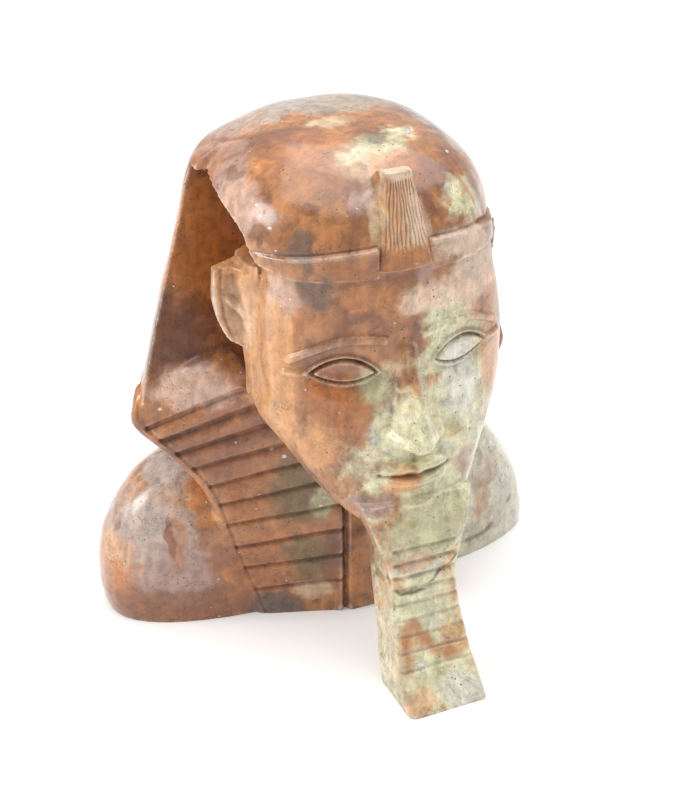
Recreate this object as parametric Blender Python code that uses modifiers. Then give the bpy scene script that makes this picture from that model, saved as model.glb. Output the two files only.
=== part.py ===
"""A carved stone bust of a ruler in a pleated headcloth, one solid piece.

Metres, +Z up, the face looks towards -Y. The forms are roughed out as separate
solids, joined into one body, then carved: headband, pleats, beard grooves, eyes,
lips and ears. The finished bust stands on its shoulders and on the foot of its beard.
"""

import math

import bmesh
import bpy
import numpy as np
from mathutils import Matrix, Vector

# Driving dimensions, in metres
HEIGHT = 0.1505
SHOULDER_LEFT = 0.0745
SHOULDER_RIGHT = 0.0655
CLOTH_LEFT = 0.067
CLOTH_RIGHT = 0.0532
BEARD_WIDTH = 0.0240
BEARD_REACH = 0.031
COBRA_WIDTH = 0.0158
COBRA_HEIGHT = 0.0255
BAND_HEIGHT = 0.0074
BAND_RELIEF = 0.0013
PLEAT_COUNT = 10
PLEAT_WIDTH = 0.0016
PLEAT_DEPTH = 0.0010
BEARD_GROOVE_PITCH = 0.0043
BEARD_GROOVE_DEPTH = 0.0006
TAIL_WIDTH = 0.018

# The mesh of the carving: the size of its cells, and how many faces are kept
CELL = 0.0009
FACES_KEPT = 9400

# The figure's proportions are shares of its height, counted in 150.5 parts
PART = HEIGHT / 150.5

STONE_COLOUR = (0.46, 0.27, 0.16, 1.0)
STONE_ROUGHNESS = 0.28


# Tools for the rough forms

def clear_scene():
    """Remove every object, so that the file can be run again."""
    for item in list(bpy.data.objects):
        bpy.data.objects.remove(item, do_unlink=True)


def collection(name):
    """A collection of the scene, made when it is missing."""
    group = bpy.data.collections.get(name) or bpy.data.collections.new(name)
    if group.name not in bpy.context.scene.collection.children:
        bpy.context.scene.collection.children.link(group)
    return group


def smooth_curve(x, stations):
    """Height to value through stations (x, value), without overshoot."""
    xs = np.array([s[0] for s in stations], float)
    ys = np.array([s[1] for s in stations], float)
    steps = np.diff(xs)
    slopes = np.diff(ys) / steps
    tangents = np.zeros(len(xs))
    tangents[0], tangents[-1] = slopes[0], slopes[-1]
    for i in range(1, len(xs) - 1):
        if slopes[i - 1] * slopes[i] > 0.0:
            tangents[i] = 2.0 * slopes[i - 1] * slopes[i] / (slopes[i - 1] + slopes[i])
    x = np.clip(np.asarray(x, float), xs[0], xs[-1])
    i = np.clip(np.searchsorted(xs, x) - 1, 0, len(xs) - 2)
    t = (x - xs[i]) / steps[i]
    rise = ys[i] * (1 + 2 * t) * (1 - t) ** 2 + ys[i + 1] * t * t * (3 - 2 * t)
    return rise + steps[i] * (tangents[i] * t * (1 - t) ** 2 - tangents[i + 1] * t * t * (1 - t))


def column(stations, which):
    """Stations of one measure out of rows whose first entry is the height."""
    return [(row[0], row[which]) for row in stations]


def oval(left, right, front, back, middle, front_power, back_power, back_taper=None, count=64):
    """A closed plan outline, seen from above, as (x, y) points in parts.

    The powers square the outline in front and behind; a back taper below the back
    power narrows it sooner behind the middle.
    """
    points = []
    for k in range(count):
        angle = 2.0 * math.pi * k / count
        c, s = math.cos(angle), math.sin(angle)
        power = back_power if s > 0.0 else front_power
        taper = back_taper if s > 0.0 and back_taper else power
        reach_x = right if c > 0.0 else left
        reach_y = back - middle if s > 0.0 else middle - front
        x = reach_x * math.copysign(abs(c) ** (2.0 / power), c)
        y = middle + reach_y * math.copysign(abs(s) ** (2.0 / taper), s)
        points.append((x, y))
    return points


def loft(name, rings, group):
    """A closed solid through rings of points given in parts of the height."""
    bm = bmesh.new()
    loops = [[bm.verts.new(Vector(p) * PART) for p in ring] for ring in rings]
    for low, high in zip(loops, loops[1:]):
        for i in range(len(low)):
            j = (i + 1) % len(low)
            bm.faces.new((low[i], low[j], high[j], high[i]))
    bm.faces.new(list(reversed(loops[0])))
    bm.faces.new(loops[-1])
    bmesh.ops.recalc_face_normals(bm, faces=bm.faces)
    mesh = bpy.data.meshes.new(name)
    bm.to_mesh(mesh)
    bm.free()
    item = bpy.data.objects.new(name, mesh)
    group.objects.link(item)
    return item


def apply_modifiers(item):
    """Replace an object's mesh by its evaluated mesh."""
    graph = bpy.context.evaluated_depsgraph_get()
    graph.update()
    mesh = bpy.data.meshes.new_from_object(item.evaluated_get(graph))
    item.modifiers.clear()
    item.data = mesh


def cut(item, cutter, operation="DIFFERENCE"):
    """Boolean the item with a cutter, exactly."""
    cutter.hide_render = True
    cutter.display_type = "WIRE"
    change = item.modifiers.new("cut", "BOOLEAN")
    change.operation = operation
    change.solver = "EXACT"
    change.object = cutter
    apply_modifiers(item)


def bell(distance, width):
    """1 at distance 0, falling smoothly to 0 at the width."""
    t = np.clip(np.abs(distance) / width, 0.0, 1.0)
    return (1.0 - t * t) ** 2


def ramp(value, low, high):
    """0 below low, 1 above high, smooth between."""
    t = np.clip((value - low) / (high - low), 0.0, 1.0)
    return t * t * (3.0 - 2.0 * t)


# The rough forms, in parts of the height

def cloth_front(z):
    """How far back the front of the cloth's wings stands at a height."""
    return 42.0 + 0.277 * (z - 73.0)


def crown(group):
    """The rounded top of the headcloth, a squared ellipsoid."""
    centre, radii, power = (0.0, 46.0, 123.3), (38.4, 42.6, 27.2), 2.6
    left_swell, back_taper, under_taper = 1.04, 0.24, 0.5
    bm = bmesh.new()
    bmesh.ops.create_uvsphere(bm, u_segments=96, v_segments=64, radius=1.0)
    for vert in bm.verts:
        size = sum(abs(c) ** power for c in vert.co) ** (-1.0 / power)
        x, y, z = (c * size for c in vert.co)
        x *= left_swell if x < 0.0 else 1.0 - 0.035 * (1.0 - max(z, 0.0))
        x *= 1.0 - back_taper * max(y, 0.0) ** 2
        x *= 1.0 - under_taper * max(-z, 0.0)
        y *= 1.0 - 0.3 * max(-z, 0.0)
        vert.co = Vector((c * r + o) * PART for c, r, o in zip((x, y, z), radii, centre))
    mesh = bpy.data.meshes.new("crown")
    bm.to_mesh(mesh)
    bm.free()
    item = bpy.data.objects.new("crown", mesh)
    group.objects.link(item)
    return item


def wings(group):
    """The cloth behind the head: it spreads from the crown to the shoulders."""
    spreads = (CLOTH_LEFT / PART - 3.0, CLOTH_RIGHT / PART - 2.5)
    tops = (39.5, 34.8)
    stations = (
        (50.0, -0.80, 84.0), (58.0, -0.40, 88.0), (65.0, 0.60, 89.5), (69.0, 0.90, 90.0),
        (72.5, 0.955, 90.0), (77.0, 0.93, 90.2), (84.0, 0.84, 90.4), (100.0, 0.604, 90.6),
        (124.0, 0.223, 89.8), (138.0, 0.0, 86.5), (140.0, -0.07, 84.8), (142.0, -0.20, 82.0),
        (144.0, -0.36, 79.0), (147.0, -0.7, 72.0),
    )
    rings = []
    for z in np.concatenate([np.arange(50.0, 138.0, 2.0), np.arange(138.0, 147.1, 1.0)]):
        share = float(smooth_curve(z, column(stations, 1)))
        back = float(smooth_curve(z, column(stations, 2)))
        front = cloth_front(z)
        if share > 0.0:
            reaches = [top + share * (spread - top) for top, spread in zip(tops, spreads)]
        else:
            reaches = [top + share * 27.0 for top in tops]
        plan = oval(reaches[0], reaches[1], front - 4.0, back, front, 8.0, 2.0, 1.5)
        rings.append([(x, y, z) for x, y in plan])
    return loft("wings", rings, group)


def face_opening(group):
    """What is cut from the cloth: all below the crown's rim and before the wings."""
    bends = ((12.0, 123.2), (17.0, 123.5), (20.5, 124.3), (23.5, 127.2), (26.5, 130.4), (33.0, 133.4),
             (45.0, 135.8))
    rim = tuple((y, float(smooth_curve(y, bends))) for y in np.arange(12.0, 45.1, 1.5))
    behind_lappets = ((50.0, 40.0), (50.0, 68.0))
    plane = tuple((cloth_front(z), z) for z in (75.0, 138.0))
    profile = rim[::-1] + ((-40.0, 123.2), (-40.0, 40.0)) + behind_lappets + plane
    rings = [[(x, y, z) for y, z in profile] for x in (-80.0, 80.0)]
    return loft("face_opening", rings, group)


def side_narrowing(y, z):
    """How far the sides of the head draw in behind the cheeks, under the headcloth."""
    return 1.0 - 0.0105 * np.clip(y - 14.0, 0.0, 38.0) * ramp(z, 74.0, 88.0)


def head(group):
    """The face and jaw: tilted rings, from the chin up to inside the crown."""
    right_swell = 1.05
    stations = (
        (45.5, 0.62, 25.0, -5.5, 2.1), (48.0, 0.61, 28.5, -8.6, 2.15), (53.0, 0.56, 31.5, -9.4, 2.15),
        (60.0, 0.46, 34.5, -7.2, 2.15), (68.0, 0.33, 37.0, -5.0, 2.2), (78.0, 0.20, 38.8, -2.4, 2.3),
        (88.0, 0.10, 39.8, 0.0, 2.35), (98.0, 0.03, 40.2, 1.2, 2.4), (108.0, 0.0, 39.6, 1.8, 2.45),
        (118.0, 0.0, 38.4, 2.8, 2.5), (130.0, 0.0, 36.6, 5.0, 2.5), (140.0, 0.0, 29.0, 14.0, 2.4),
    )
    rings = []
    for z in np.arange(45.5, 140.1, 1.5):
        slope, half, front, power = (float(smooth_curve(z, column(stations, k))) for k in (1, 2, 3, 4))
        right = half * (1.0 + (right_swell - 1.0) * float(1.0 - ramp(abs(z - 82.0), 10.0, 34.0)))
        plan = oval(half, right, front, 60.0, 37.0, power, 2.5)
        ring = [(x, y, z + slope * (y - front)) for x, y in plan]
        rings.append([(x * float(side_narrowing(y, h)), y, h) for x, y, h in ring])
    return loft("head", rings, group)


def nose(group):
    """A straight nose between the eyes and the mouth, a third of the face long."""
    stations = (
        (71.5, 4.5, -4.0), (73.0, 7.2, -10.0), (76.0, 8.2, -13.2), (79.0, 6.8, -12.6), (84.0, 5.2, -9.6),
        (90.0, 4.3, -6.0), (96.0, 4.2, -2.4), (102.0, 5.0, 0.4), (106.0, 5.5, 2.6),
    )
    rings = []
    for z in np.arange(71.5, 106.1, 1.0):
        half, front = (float(smooth_curve(z, column(stations, k))) for k in (1, 2))
        plan = oval(half, half, front, 14.0, 5.0, 1.8, 2.0, count=32)
        rings.append([(x, y, z) for x, y in plan])
    return loft("nose", rings, group)


RIGHT_EAR_CLOSER = 0.955
EAR_LEAN, EAR_START = 0.2, 14.0
EAR_REACH = ((93.0, 0.6), (95.0, 2.5), (97.0, 5.0), (100.5, 6.9), (105.5, 8.6), (111.0, 9.2), (119.0, 9.0))


def temple(side, group):
    """The strip before the ear, from the cheek up under the headcloth."""
    low = ((34.5, 22.5), (38.2, 26.0), (39.2, 30.0), (38.6, 33.0), (28.0, 35.0))
    high = ((36.0, 23.5), (38.8, 28.0), (40.3, 36.0), (40.0, 38.6), (28.0, 41.0))
    closer = 1.0 if side < 0.0 else RIGHT_EAR_CLOSER
    rings = []
    for z in np.arange(80.0, 121.1, 1.5):
        grown = float(ramp(z, 86.0, 106.0))
        plan = [(a[0] + (b[0] - a[0]) * grown, a[1] + (b[1] - a[1]) * grown) for a, b in zip(low, high)]
        rise = 0.25 * float(ramp(z, 108.0, 121.0))
        rings.append([(side * (x - EAR_LEAN * (y - EAR_START)) * closer, y, z + rise * (40.3 - x)) for x, y in plan])
    return loft("temple", rings, group)


def ear(side, group):
    """One ear: a plate that stands off, flat on top, hollow before its rim, pointed at the lobe."""
    closer = 1.0 if side < 0.0 else RIGHT_EAR_CLOSER
    rings = []
    for z in np.arange(93.0, 119.1, 1.5):
        reach = float(smooth_curve(z, EAR_REACH))
        sink = 2.2 * (1.0 - float(ramp(z, 92.0, 98.0)))
        plan = ((38.0 + 0.06 * reach, 26.0 + 0.22 * reach), (38.4 + 0.40 * reach, 27.5 + 0.60 * reach),
                (38.4 + reach, 28.0 + 0.48 * reach), (38.6 + reach, 31.0 + 0.58 * reach),
                (38.0 + 0.33 * reach, 31.5 + 0.83 * reach), (30.0, 33.0 + 0.7 * reach))
        rings.append([(side * (x - sink - EAR_LEAN * (y - EAR_START)) * closer, y, z) for x, y in plan])
    return loft("ear", rings, group)


def neck(group):
    """The neck, from the chest up behind the jaw."""
    rings = []
    for z, half, front in ((20.0, 26.0, 26.0), (44.0, 24.0, 27.0), (52.0, 23.5, 29.5), (86.0, 23.0, 24.0)):
        plan = oval(half, half, front, 70.0, 48.0, 2.2, 2.2, count=40)
        rings.append([(x, y, z) for x, y in plan])
    return loft("neck", rings, group)


def pleat_slope(z):
    """How steeply the pleats fall outward, by their height at the lappet's middle."""
    return 0.08 + 0.49 * (np.clip(z, 0.0, 92.0) / 91.5) ** 1.7


LAPPET_MIDDLE = 40.0
LAPPET_INNER = 8.0
LAPPET_RIM = 2.2


def lappet_outer(z, side):
    """How far out a lappet's edge lies, by its pleat height, as the cloth's spread sets it."""
    share = smooth_curve(z, (
        (-4.0, 0.478), (0.0, 0.498), (8.6, 0.538), (16.3, 0.576), (24.3, 0.612), (32.4, 0.642),
        (41.6, 0.678), (49.3, 0.722), (56.7, 0.786), (63.6, 0.846), (70.0, 0.902), (76.3, 0.954),
        (80.0, 0.974), (84.5, 0.985), (89.0, 0.978), (90.5, 0.955), (91.8, 0.91), (92.2, 0.85),
    ))
    return share * np.where(side < 0.0, CLOTH_LEFT, CLOTH_RIGHT) / PART


def lappet_top(x, y):
    """The rounded top of a lappet, where it rolls back under the cloth's wing."""
    before = np.clip(46.0 - y, 0.0, 14.0)
    return 86.5 - 0.0125 * (x - 38.0) ** 2 - 0.05 * before ** 2


def lappet_edge(z, side):
    """How far out the upper end of a lappet may reach, in line with the cloth's edge."""
    spread = (CLOTH_LEFT if side < 0.0 else CLOTH_RIGHT) / PART
    return spread * (0.975 - 0.0064 * (z - 72.0))


def lower_of(first, second, blend):
    """The lower of two values, with a smooth passage between them."""
    return -blend * np.logaddexp(-first / blend, -second / blend)


def lappet(side, group):
    """One front flap of the cloth, from the wing's top down to the ground."""
    stations = (
        (-4.0, 8.0, 0.0), (32.4, 8.2, 0.0), (41.6, 8.8, 0.0), (49.3, 11.0, 0.0), (56.7, 14.0, 0.0),
        (63.6, 18.0, 0.0), (70.0, 23.0, 0.0), (76.3, 28.0, 0.2), (84.0, 31.0, 0.8), (88.5, 33.0, 2.6),
        (90.5, 34.0, 4.6), (91.8, 34.5, 8.0), (92.2, 35.0, 13.0),
    )
    heights = np.concatenate([np.arange(-4.0, 84.0, 2.0), np.arange(84.0, 92.0, 0.8), [92.2]])
    rings = []
    for z in heights:
        inner, inset = (float(smooth_curve(z, column(stations, k))) for k in (1, 2))
        outer = float(lappet_outer(z, side))
        slope = float(pleat_slope(max(z, 0.0)))
        rim = 1.6
        front = [inner, inner + 0.6, inner + rim]
        front += list(np.linspace(inner + rim, outer - rim, 8)[1:-1])
        front += [outer - rim, outer - 0.5, outer]
        setback = [1.4, 0.5, 0.0] + [0.0] * 6 + [0.0, 0.5, 1.5]
        ring = [(x, 22.0 + 0.33 * x + inset + s) for x, s in zip(front, setback)]
        ring += [(outer - 4.0, 28.0 + 0.33 * outer), (outer - 10.0, 54.0), (inner, 58.0)]
        ring = [(x, y, z - slope * (x - LAPPET_MIDDLE)) for x, y in ring]
        ring = [(x, y, lower_of(h, lappet_top(x, y), 1.2)) for x, y, h in ring]
        rings.append([(side * lower_of(x, lappet_edge(h, side), 0.5), y, h) for x, y, h in ring])
    return loft("lappet", rings, group)


def chest(group):
    """The strip of chest between the lappets."""
    rings = []
    for z, front in ((-4.0, 23.6), (34.0, 24.0), (42.0, 25.0), (48.0, 28.0), (52.0, 33.0)):
        plan = oval(13.0, 13.0, front, 60.0, 42.0, 5.0, 3.0, count=32)
        rings.append([(x, y, z) for x, y in plan])
    return loft("chest", rings, group)


def shoulders(group):
    """The rounded shoulders, cut flat below: the bust's main footing."""
    left, right = SHOULDER_LEFT / PART, SHOULDER_RIGHT / PART
    stations = (
        (-4.0, 0.95, 0.99, 26.0), (0.0, 0.975, 1.005, 27.2), (4.0, 0.99, 1.01, 27.6),
        (9.0, 1.0, 1.0, 27.8), (16.0, 0.998, 0.975, 28.0), (24.0, 0.98, 0.93, 27.6),
        (30.0, 0.945, 0.88, 26.6), (38.0, 0.875, 0.79, 24.0), (43.0, 0.80, 0.715, 20.5),
        (47.0, 0.69, 0.62, 16.0), (49.5, 0.57, 0.51, 12.0), (51.5, 0.42, 0.38, 8.0),
        (53.0, 0.15, 0.14, 3.0),
    )
    rings = []
    for z in np.concatenate([np.arange(-4.0, 46.0, 2.0), np.arange(46.0, 53.1, 0.5)]):
        near, far, depth = (float(smooth_curve(z, column(stations, k))) for k in (1, 2, 3))
        plan = oval(left * near, right * far, 56.0 - 0.85 * depth, 60.0 + depth, 56.0, 2.5, 2.1, count=96)
        rings.append([(x, y, z) for x, y in plan])
    return loft("shoulders", rings, group)


def beard_measures(z):
    """Front, back and half width of the beard at a height."""
    reach, half = BEARD_REACH / PART, 0.5 * BEARD_WIDTH / PART
    stations = (
        (-4.0, -reach - 3.0, -11.5, 1.03 * half), (0.0, -reach, -10.0, 1.02 * half),
        (6.0, 0.82 * -reach, -7.0, half), (12.0, 0.68 * -reach, -4.5, 0.95 * half),
        (20.0, 0.55 * -reach, -1.5, 0.90 * half), (30.0, 0.435 * -reach, 3.0, 0.85 * half),
        (40.0, -12.5, 6.5, 0.835 * half), (50.0, -11.0, 9.5, 0.87 * half), (58.0, -8.0, 13.0, 0.9 * half),
    )
    return tuple(smooth_curve(z, column(stations, k)) for k in (1, 2, 3))


def beard(group):
    """The false beard: a squared post that flares forward to the ground."""
    rings = []
    for z in np.arange(-4.0, 58.1, 2.0):
        front, back, half = (float(v) for v in beard_measures(z))
        edge = 1.3
        right = [(half, back - edge), (half - edge, back)]
        left = [(-half + edge, back), (-half, back - edge)]
        near = [(-half, front + edge), (-half + edge, front), (half - edge, front), (half, front + edge)]
        rings.append([(x, y, z) for x, y in near + right + left])
    return loft("beard", rings, group)


def beard_plate(group):
    """The strap under the jaw: it narrows down onto the beard's front edges."""
    stations = ((33.0, 9.6, 1.0), (38.0, 10.8, 2.6), (44.0, 12.6, 4.0), (50.0, 14.8, 6.0), (58.0, 17.0, 12.0))
    rings = []
    for z in np.arange(33.0, 58.1, 1.0):
        half, depth = (float(smooth_curve(z, column(stations, k))) for k in (1, 2))
        front = float(beard_measures(z)[0])
        near = [(-half, front + 0.6 + 0.10 * (half - 9.6)), (-half + 3.0, front - 0.3), (0.0, front - 0.4),
                (half - 3.0, front - 0.3), (half, front + 0.6 + 0.10 * (half - 9.6))]
        far = [(half, front + 1.2 + depth), (-half, front + 1.2 + depth)]
        rings.append([(x, y, z) for x, y in near + far])
    return loft("beard_plate", rings, group)


def cobra(group):
    """The worn cobra on the brow: a tapering block that leans back on the crown."""
    wide, tall = 0.5 * COBRA_WIDTH / PART, COBRA_HEIGHT / PART
    rings = []
    for share in np.linspace(0.0, 1.0, 13):
        z = 150.0 - tall * (1.0 - share)
        half = wide * (1.0 - 0.53 * share)
        front = 1.0 + 6.5 * share ** 1.2
        back = 10.5 + 14.0 * (1.0 - share) ** 0.5
        bow = 0.24 * half
        near = [(half * math.sin(a), front + bow * (1.0 - math.cos(a)))
                for a in np.linspace(-0.5 * math.pi, 0.5 * math.pi, 11)]
        far = [(half, back), (-half, back)]
        rings.append([(x, y, z) for x, y in near + far])
    return loft("cobra", rings, group)


def tail(group):
    """The gathered end of the cloth, a plain strip down the back."""
    wide = 0.5 * TAIL_WIDTH / PART
    rings = []
    for z, share, proud in ((14.0, 0.62, 88.5), (17.0, 0.66, 90.6), (40.0, 0.78, 91.4), (62.0, 0.95, 91.8),
                            (74.0, 1.1, 91.6), (84.0, 1.3, 90.0)):
        half = wide * share
        plan = oval(half, half, 70.0, proud, 80.0, 4.0, 3.0, count=24)
        rings.append([(x, y, z) for x, y in plan])
    return loft("tail", rings, group)


# Carving: every function takes points and normals in parts and returns a depth

def carve_band(p, n):
    """The headband stands proud of the crown, level from temple to temple."""
    x, y, z = np.abs(p[:, 0]), p[:, 1], p[:, 2]
    tall, relief = BAND_HEIGHT / PART, BAND_RELIEF / PART
    top = 123.6 + tall * (1.0 - 0.45 * (x / 36.0) ** 2)
    inside = ramp(z, 122.0, 122.8) * (1.0 - ramp(z, top - 0.4, top + 0.4))
    reach = 1.0 - ramp(y, 19.0, 27.0)
    cobra_half = 0.5 * COBRA_WIDTH / PART
    off_cobra = ramp(x, cobra_half - 1.0, cobra_half)
    return relief * inside * reach * off_cobra * (1.0 - 0.6 * ramp(x, 27.0, 36.0))


def pleat_height(p):
    """The height at the lappet's middle of the pleat line through a point."""
    x = np.abs(p[:, 0])
    height = p[:, 2].copy()
    for _ in range(6):
        height = p[:, 2] + pleat_slope(height) * (x - LAPPET_MIDDLE)
    return height


def on_lappets(p, n, height):
    """1 on the front faces of the lappets, inside their plain rims."""
    x, y = np.abs(p[:, 0]), p[:, 1]
    outer = lappet_outer(height, np.sign(p[:, 0]))
    near = 1.0 - ramp(np.abs(y - 22.0 - 0.33 * x), 1.6, 3.0)
    inside = ramp(x, LAPPET_INNER - 1.0, LAPPET_INNER + 0.5) * (1.0 - ramp(x, outer - LAPPET_RIM, outer - 1.0))
    return near * ramp(-n[:, 1], 0.45, 0.75) * inside


def carve_pleats(p, n):
    """The pleats of the lappets: soft and wide above, narrow lines below."""
    height = pleat_height(p)
    count = np.arange(PLEAT_COUNT)
    lines = 8.6 + 8.35 * count - 0.092 * count ** 2
    index = np.interp(height, lines, count)
    nearest = lines[np.clip(np.round(index).astype(int), 0, PLEAT_COUNT - 1)]
    width = PLEAT_WIDTH / PART * (0.85 + 0.9 * ramp(nearest, 45.0, 80.0))
    depth = PLEAT_DEPTH / PART * (0.85 + 0.5 * ramp(nearest, 40.0, 75.0))
    return -depth * bell(height - nearest, width) * on_lappets(p, n, height)


def carve_inner_edges(p, n):
    """The upright groove between each lappet and the chest."""
    x, y, z = np.abs(p[:, 0]), p[:, 1], p[:, 2]
    front = (1.0 - ramp(y, 27.0, 29.0)) * ramp(y, 18.0, 20.0) * ramp(-n[:, 1], 0.3, 0.6)
    return -1.8 * bell(x - LAPPET_INNER, 1.7) * front * (1.0 - ramp(z, 44.0, 52.0))


def carve_beard(p, n):
    """Level grooves across the front of the beard."""
    pitch, depth = BEARD_GROOVE_PITCH / PART, BEARD_GROOVE_DEPTH / PART
    x, y, z = np.abs(p[:, 0]), p[:, 1], p[:, 2]
    front, back, half = beard_measures(z)
    face = (1.0 - ramp(y, front + 1.6, front + 2.6)) * (1.0 - ramp(x, half - 1.0, half + 0.5))
    span = ramp(z, 8.0, 9.0) * (1.0 - ramp(z, 50.0, 52.0))
    offset = (z - 10.0) / pitch
    return -depth * bell((offset - np.round(offset)) * pitch, 1.1) * face * span


def carve_eyes(p, n):
    """Almond eyes under raised brows, with a painted-style line to the temple."""
    x, y, z = np.abs(p[:, 0]), p[:, 1], p[:, 2]
    front = ramp(-n[:, 1], 0.25, 0.5) * (1.0 - ramp(y, 24.0, 28.0))
    across, up = x - 17.5, z - 95.5 - 0.03 * (x - 17.5)
    socket = bell(np.hypot(across / 13.0, up / 8.5), 1.0)
    shape = 1.0 - (across / 8.8) ** 2
    lid = np.where(up > 0.0, up / 4.4, -up / 3.2)
    inside = shape - lid
    ball = ramp(inside, 0.0, 0.35)
    rim = bell(inside - 0.02, 0.26) * (np.abs(across) < 9.6)
    arch = 103.2 + 2.4 * bell(x - 16.0, 16.0) - 0.018 * np.clip(x - 16.0, 0.0, 30.0) ** 2
    brow = bell(z - arch, 1.5) * ramp(x, 5.0, 7.5) * (1.0 - ramp(x, 29.0, 32.0))
    line = bell(up + 0.4, 1.1) * ramp(x, 25.5, 27.0) * (1.0 - ramp(x, 31.5, 34.0))
    depth = -2.6 * socket + 1.5 * ball + 1.0 * rim + 0.9 * brow + 0.7 * line
    return depth * front


def carve_mouth(p, n):
    """Calm, closed lips and a rounded chin."""
    x, y, z = np.abs(p[:, 0]), p[:, 1], p[:, 2]
    front = ramp(-n[:, 1], 0.2, 0.5) * (1.0 - ramp(y, 6.0, 10.0))
    half = 10.2
    taper = np.clip(1.0 - (x / half) ** 2, 0.0, 1.0) ** 0.6
    parting = 64.8 + 0.006 * x ** 2
    upper = bell(z - parting - 1.7, 2.4) * taper
    lower = bell(z - parting + 2.0, 2.7) * np.clip(1.0 - (x / 9.0) ** 2, 0.0, 1.0) ** 0.6
    seam = bell(z - parting, 0.8) * (x < half + 1.0)
    groove = bell(x, 1.6) * ramp(z, 67.5, 68.5) * (1.0 - ramp(z, 70.5, 71.5))
    hollow = bell(z - 58.2, 2.6) * bell(x, 9.0)
    ball = bell(np.hypot(x / 9.0, (z - 52.0) / 6.0), 1.0)
    depth = 2.1 * upper + 2.3 * lower - 0.9 * seam - 0.5 * groove - 0.8 * hollow + 1.2 * ball
    return depth * front


def carve_ears(p, n):
    """The hollow of each ear, inside its outer rim."""
    y, z = p[:, 1], p[:, 2]
    x = np.where(p[:, 0] > 0.0, p[:, 0] / RIGHT_EAR_CLOSER, -p[:, 0]) + EAR_LEAN * (y - EAR_START)
    near = ramp(x, 38.5, 40.0) * (1.0 - ramp(y, 37.0, 39.0)) * ramp(-n[:, 1], 0.2, 0.5)
    hollow = bell(np.hypot((x - 42.5) / 3.2, (z - 110.5) / 7.0), 1.0)
    ridge = bell(z - 107.0 - 0.9 * (x - 42.5), 2.2) * bell(x - 42.5, 3.6)
    return (1.2 * ridge - 0.5 * hollow) * near


CARVINGS = (carve_band, carve_pleats, carve_inner_edges, carve_beard, carve_eyes, carve_mouth, carve_ears)


def carve(item):
    """Move the points of the joined body along their normals by every carving."""
    mesh = item.data
    count = len(mesh.vertices)
    points, normals = np.empty(count * 3), np.empty(count * 3)
    mesh.vertices.foreach_get("co", points)
    mesh.vertices.foreach_get("normal", normals)
    points, normals = points.reshape(-1, 3) / PART, normals.reshape(-1, 3)
    depth = sum(cut_in(points, normals) for cut_in in CARVINGS)
    points = (points + normals * depth[:, None]) * PART
    mesh.vertices.foreach_set("co", points.ravel())
    mesh.update()


# The bust

def rough_out(work):
    """Every rough form, with the face opening cut from the cloth."""
    cloth = crown(work)
    back = wings(work)
    cut(cloth, back, "UNION")
    opening = face_opening(work)
    cut(cloth, opening)
    forms = [cloth, head(work), nose(work), neck(work), chest(work), shoulders(work), beard(work),
             beard_plate(work), cobra(work), tail(work)]
    for side in (-1.0, 1.0):
        forms.append(temple(side, work))
        forms.append(ear(side, work))
        forms.append(lappet(side, work))
    for spare in (back, opening):
        bpy.data.objects.remove(spare, do_unlink=True)
    return forms


def join(name, forms, group):
    """One mesh out of all the rough forms, in an object of its own."""
    bm = bmesh.new()
    for form in forms:
        bm.from_mesh(form.data)
    bmesh.ops.recalc_face_normals(bm, faces=bm.faces)
    mesh = bpy.data.meshes.new(name)
    bm.to_mesh(mesh)
    bm.free()
    item = bpy.data.objects.new(name, mesh)
    group.objects.link(item)
    for form in forms:
        bpy.data.objects.remove(form, do_unlink=True)
    return item


def fuse(item):
    """Turn the overlapping forms into one even skin."""
    remesh = item.modifiers.new("remesh", "REMESH")
    remesh.mode = "VOXEL"
    remesh.voxel_size = CELL
    soften = item.modifiers.new("soften", "SMOOTH")
    soften.factor = 0.5
    soften.iterations = 9
    apply_modifiers(item)


def thin(item, faces):
    """Collapse edges until about the wanted number of triangles is left."""
    item.data.calc_loop_triangles()
    collapse = item.modifiers.new("thin", "DECIMATE")
    collapse.decimate_type = "COLLAPSE"
    collapse.ratio = min(1.0, faces / len(item.data.loop_triangles))
    apply_modifiers(item)


def stand(item, group):
    """Cut the underside flat and put the origin at the middle of the footing's box."""
    rings = [[(x, y, z) for x, y in ((-100.0, -60.0), (100.0, -60.0), (100.0, 120.0), (-100.0, 120.0))]
             for z in (-20.0, 0.0)]
    ground = loft("ground", rings, group)
    cut(item, ground)
    bpy.data.objects.remove(ground, do_unlink=True)
    corners = np.array([v.co for v in item.data.vertices])
    low, high = corners.min(axis=0), corners.max(axis=0)
    middle = 0.5 * (low + high)
    item.data.transform(Matrix.Translation((-middle[0], -middle[1], -low[2])))


def stone():
    """Polished stone, red-brown on the whole."""
    material = bpy.data.materials.new("stone")
    material.use_nodes = True
    shader = material.node_tree.nodes["Principled BSDF"]
    shader.inputs["Base Color"].default_value = STONE_COLOUR
    shader.inputs["Roughness"].default_value = STONE_ROUGHNESS
    shader.inputs["Metallic"].default_value = 0.0
    return material


def make_bust():
    """Rough out, fuse, carve, thin and stand the bust."""
    group, work = collection("ruler_bust"), collection("cutters")
    bust = join("bust", rough_out(work), group)
    fuse(bust)
    carve(bust)
    thin(bust, FACES_KEPT)
    stand(bust, work)
    bust.data.materials.clear()
    bust.data.materials.append(stone())
    return bust


clear_scene()
make_bust()
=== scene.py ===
"""A carved stone bust of a ruler, dressed as polished veined stone, in a small white studio.

The forms of the bust are roughed out again as in the part's source, joined at a finer
grain, and carved with the detail that a hand finds on the real piece.
"""

import math

import bmesh
import bpy
import numpy as np
from bpy.props import BoolProperty, FloatProperty, FloatVectorProperty, IntProperty, PointerProperty
from bpy.types import Operator, Panel, PropertyGroup
from mathutils import Matrix, Vector


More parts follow.
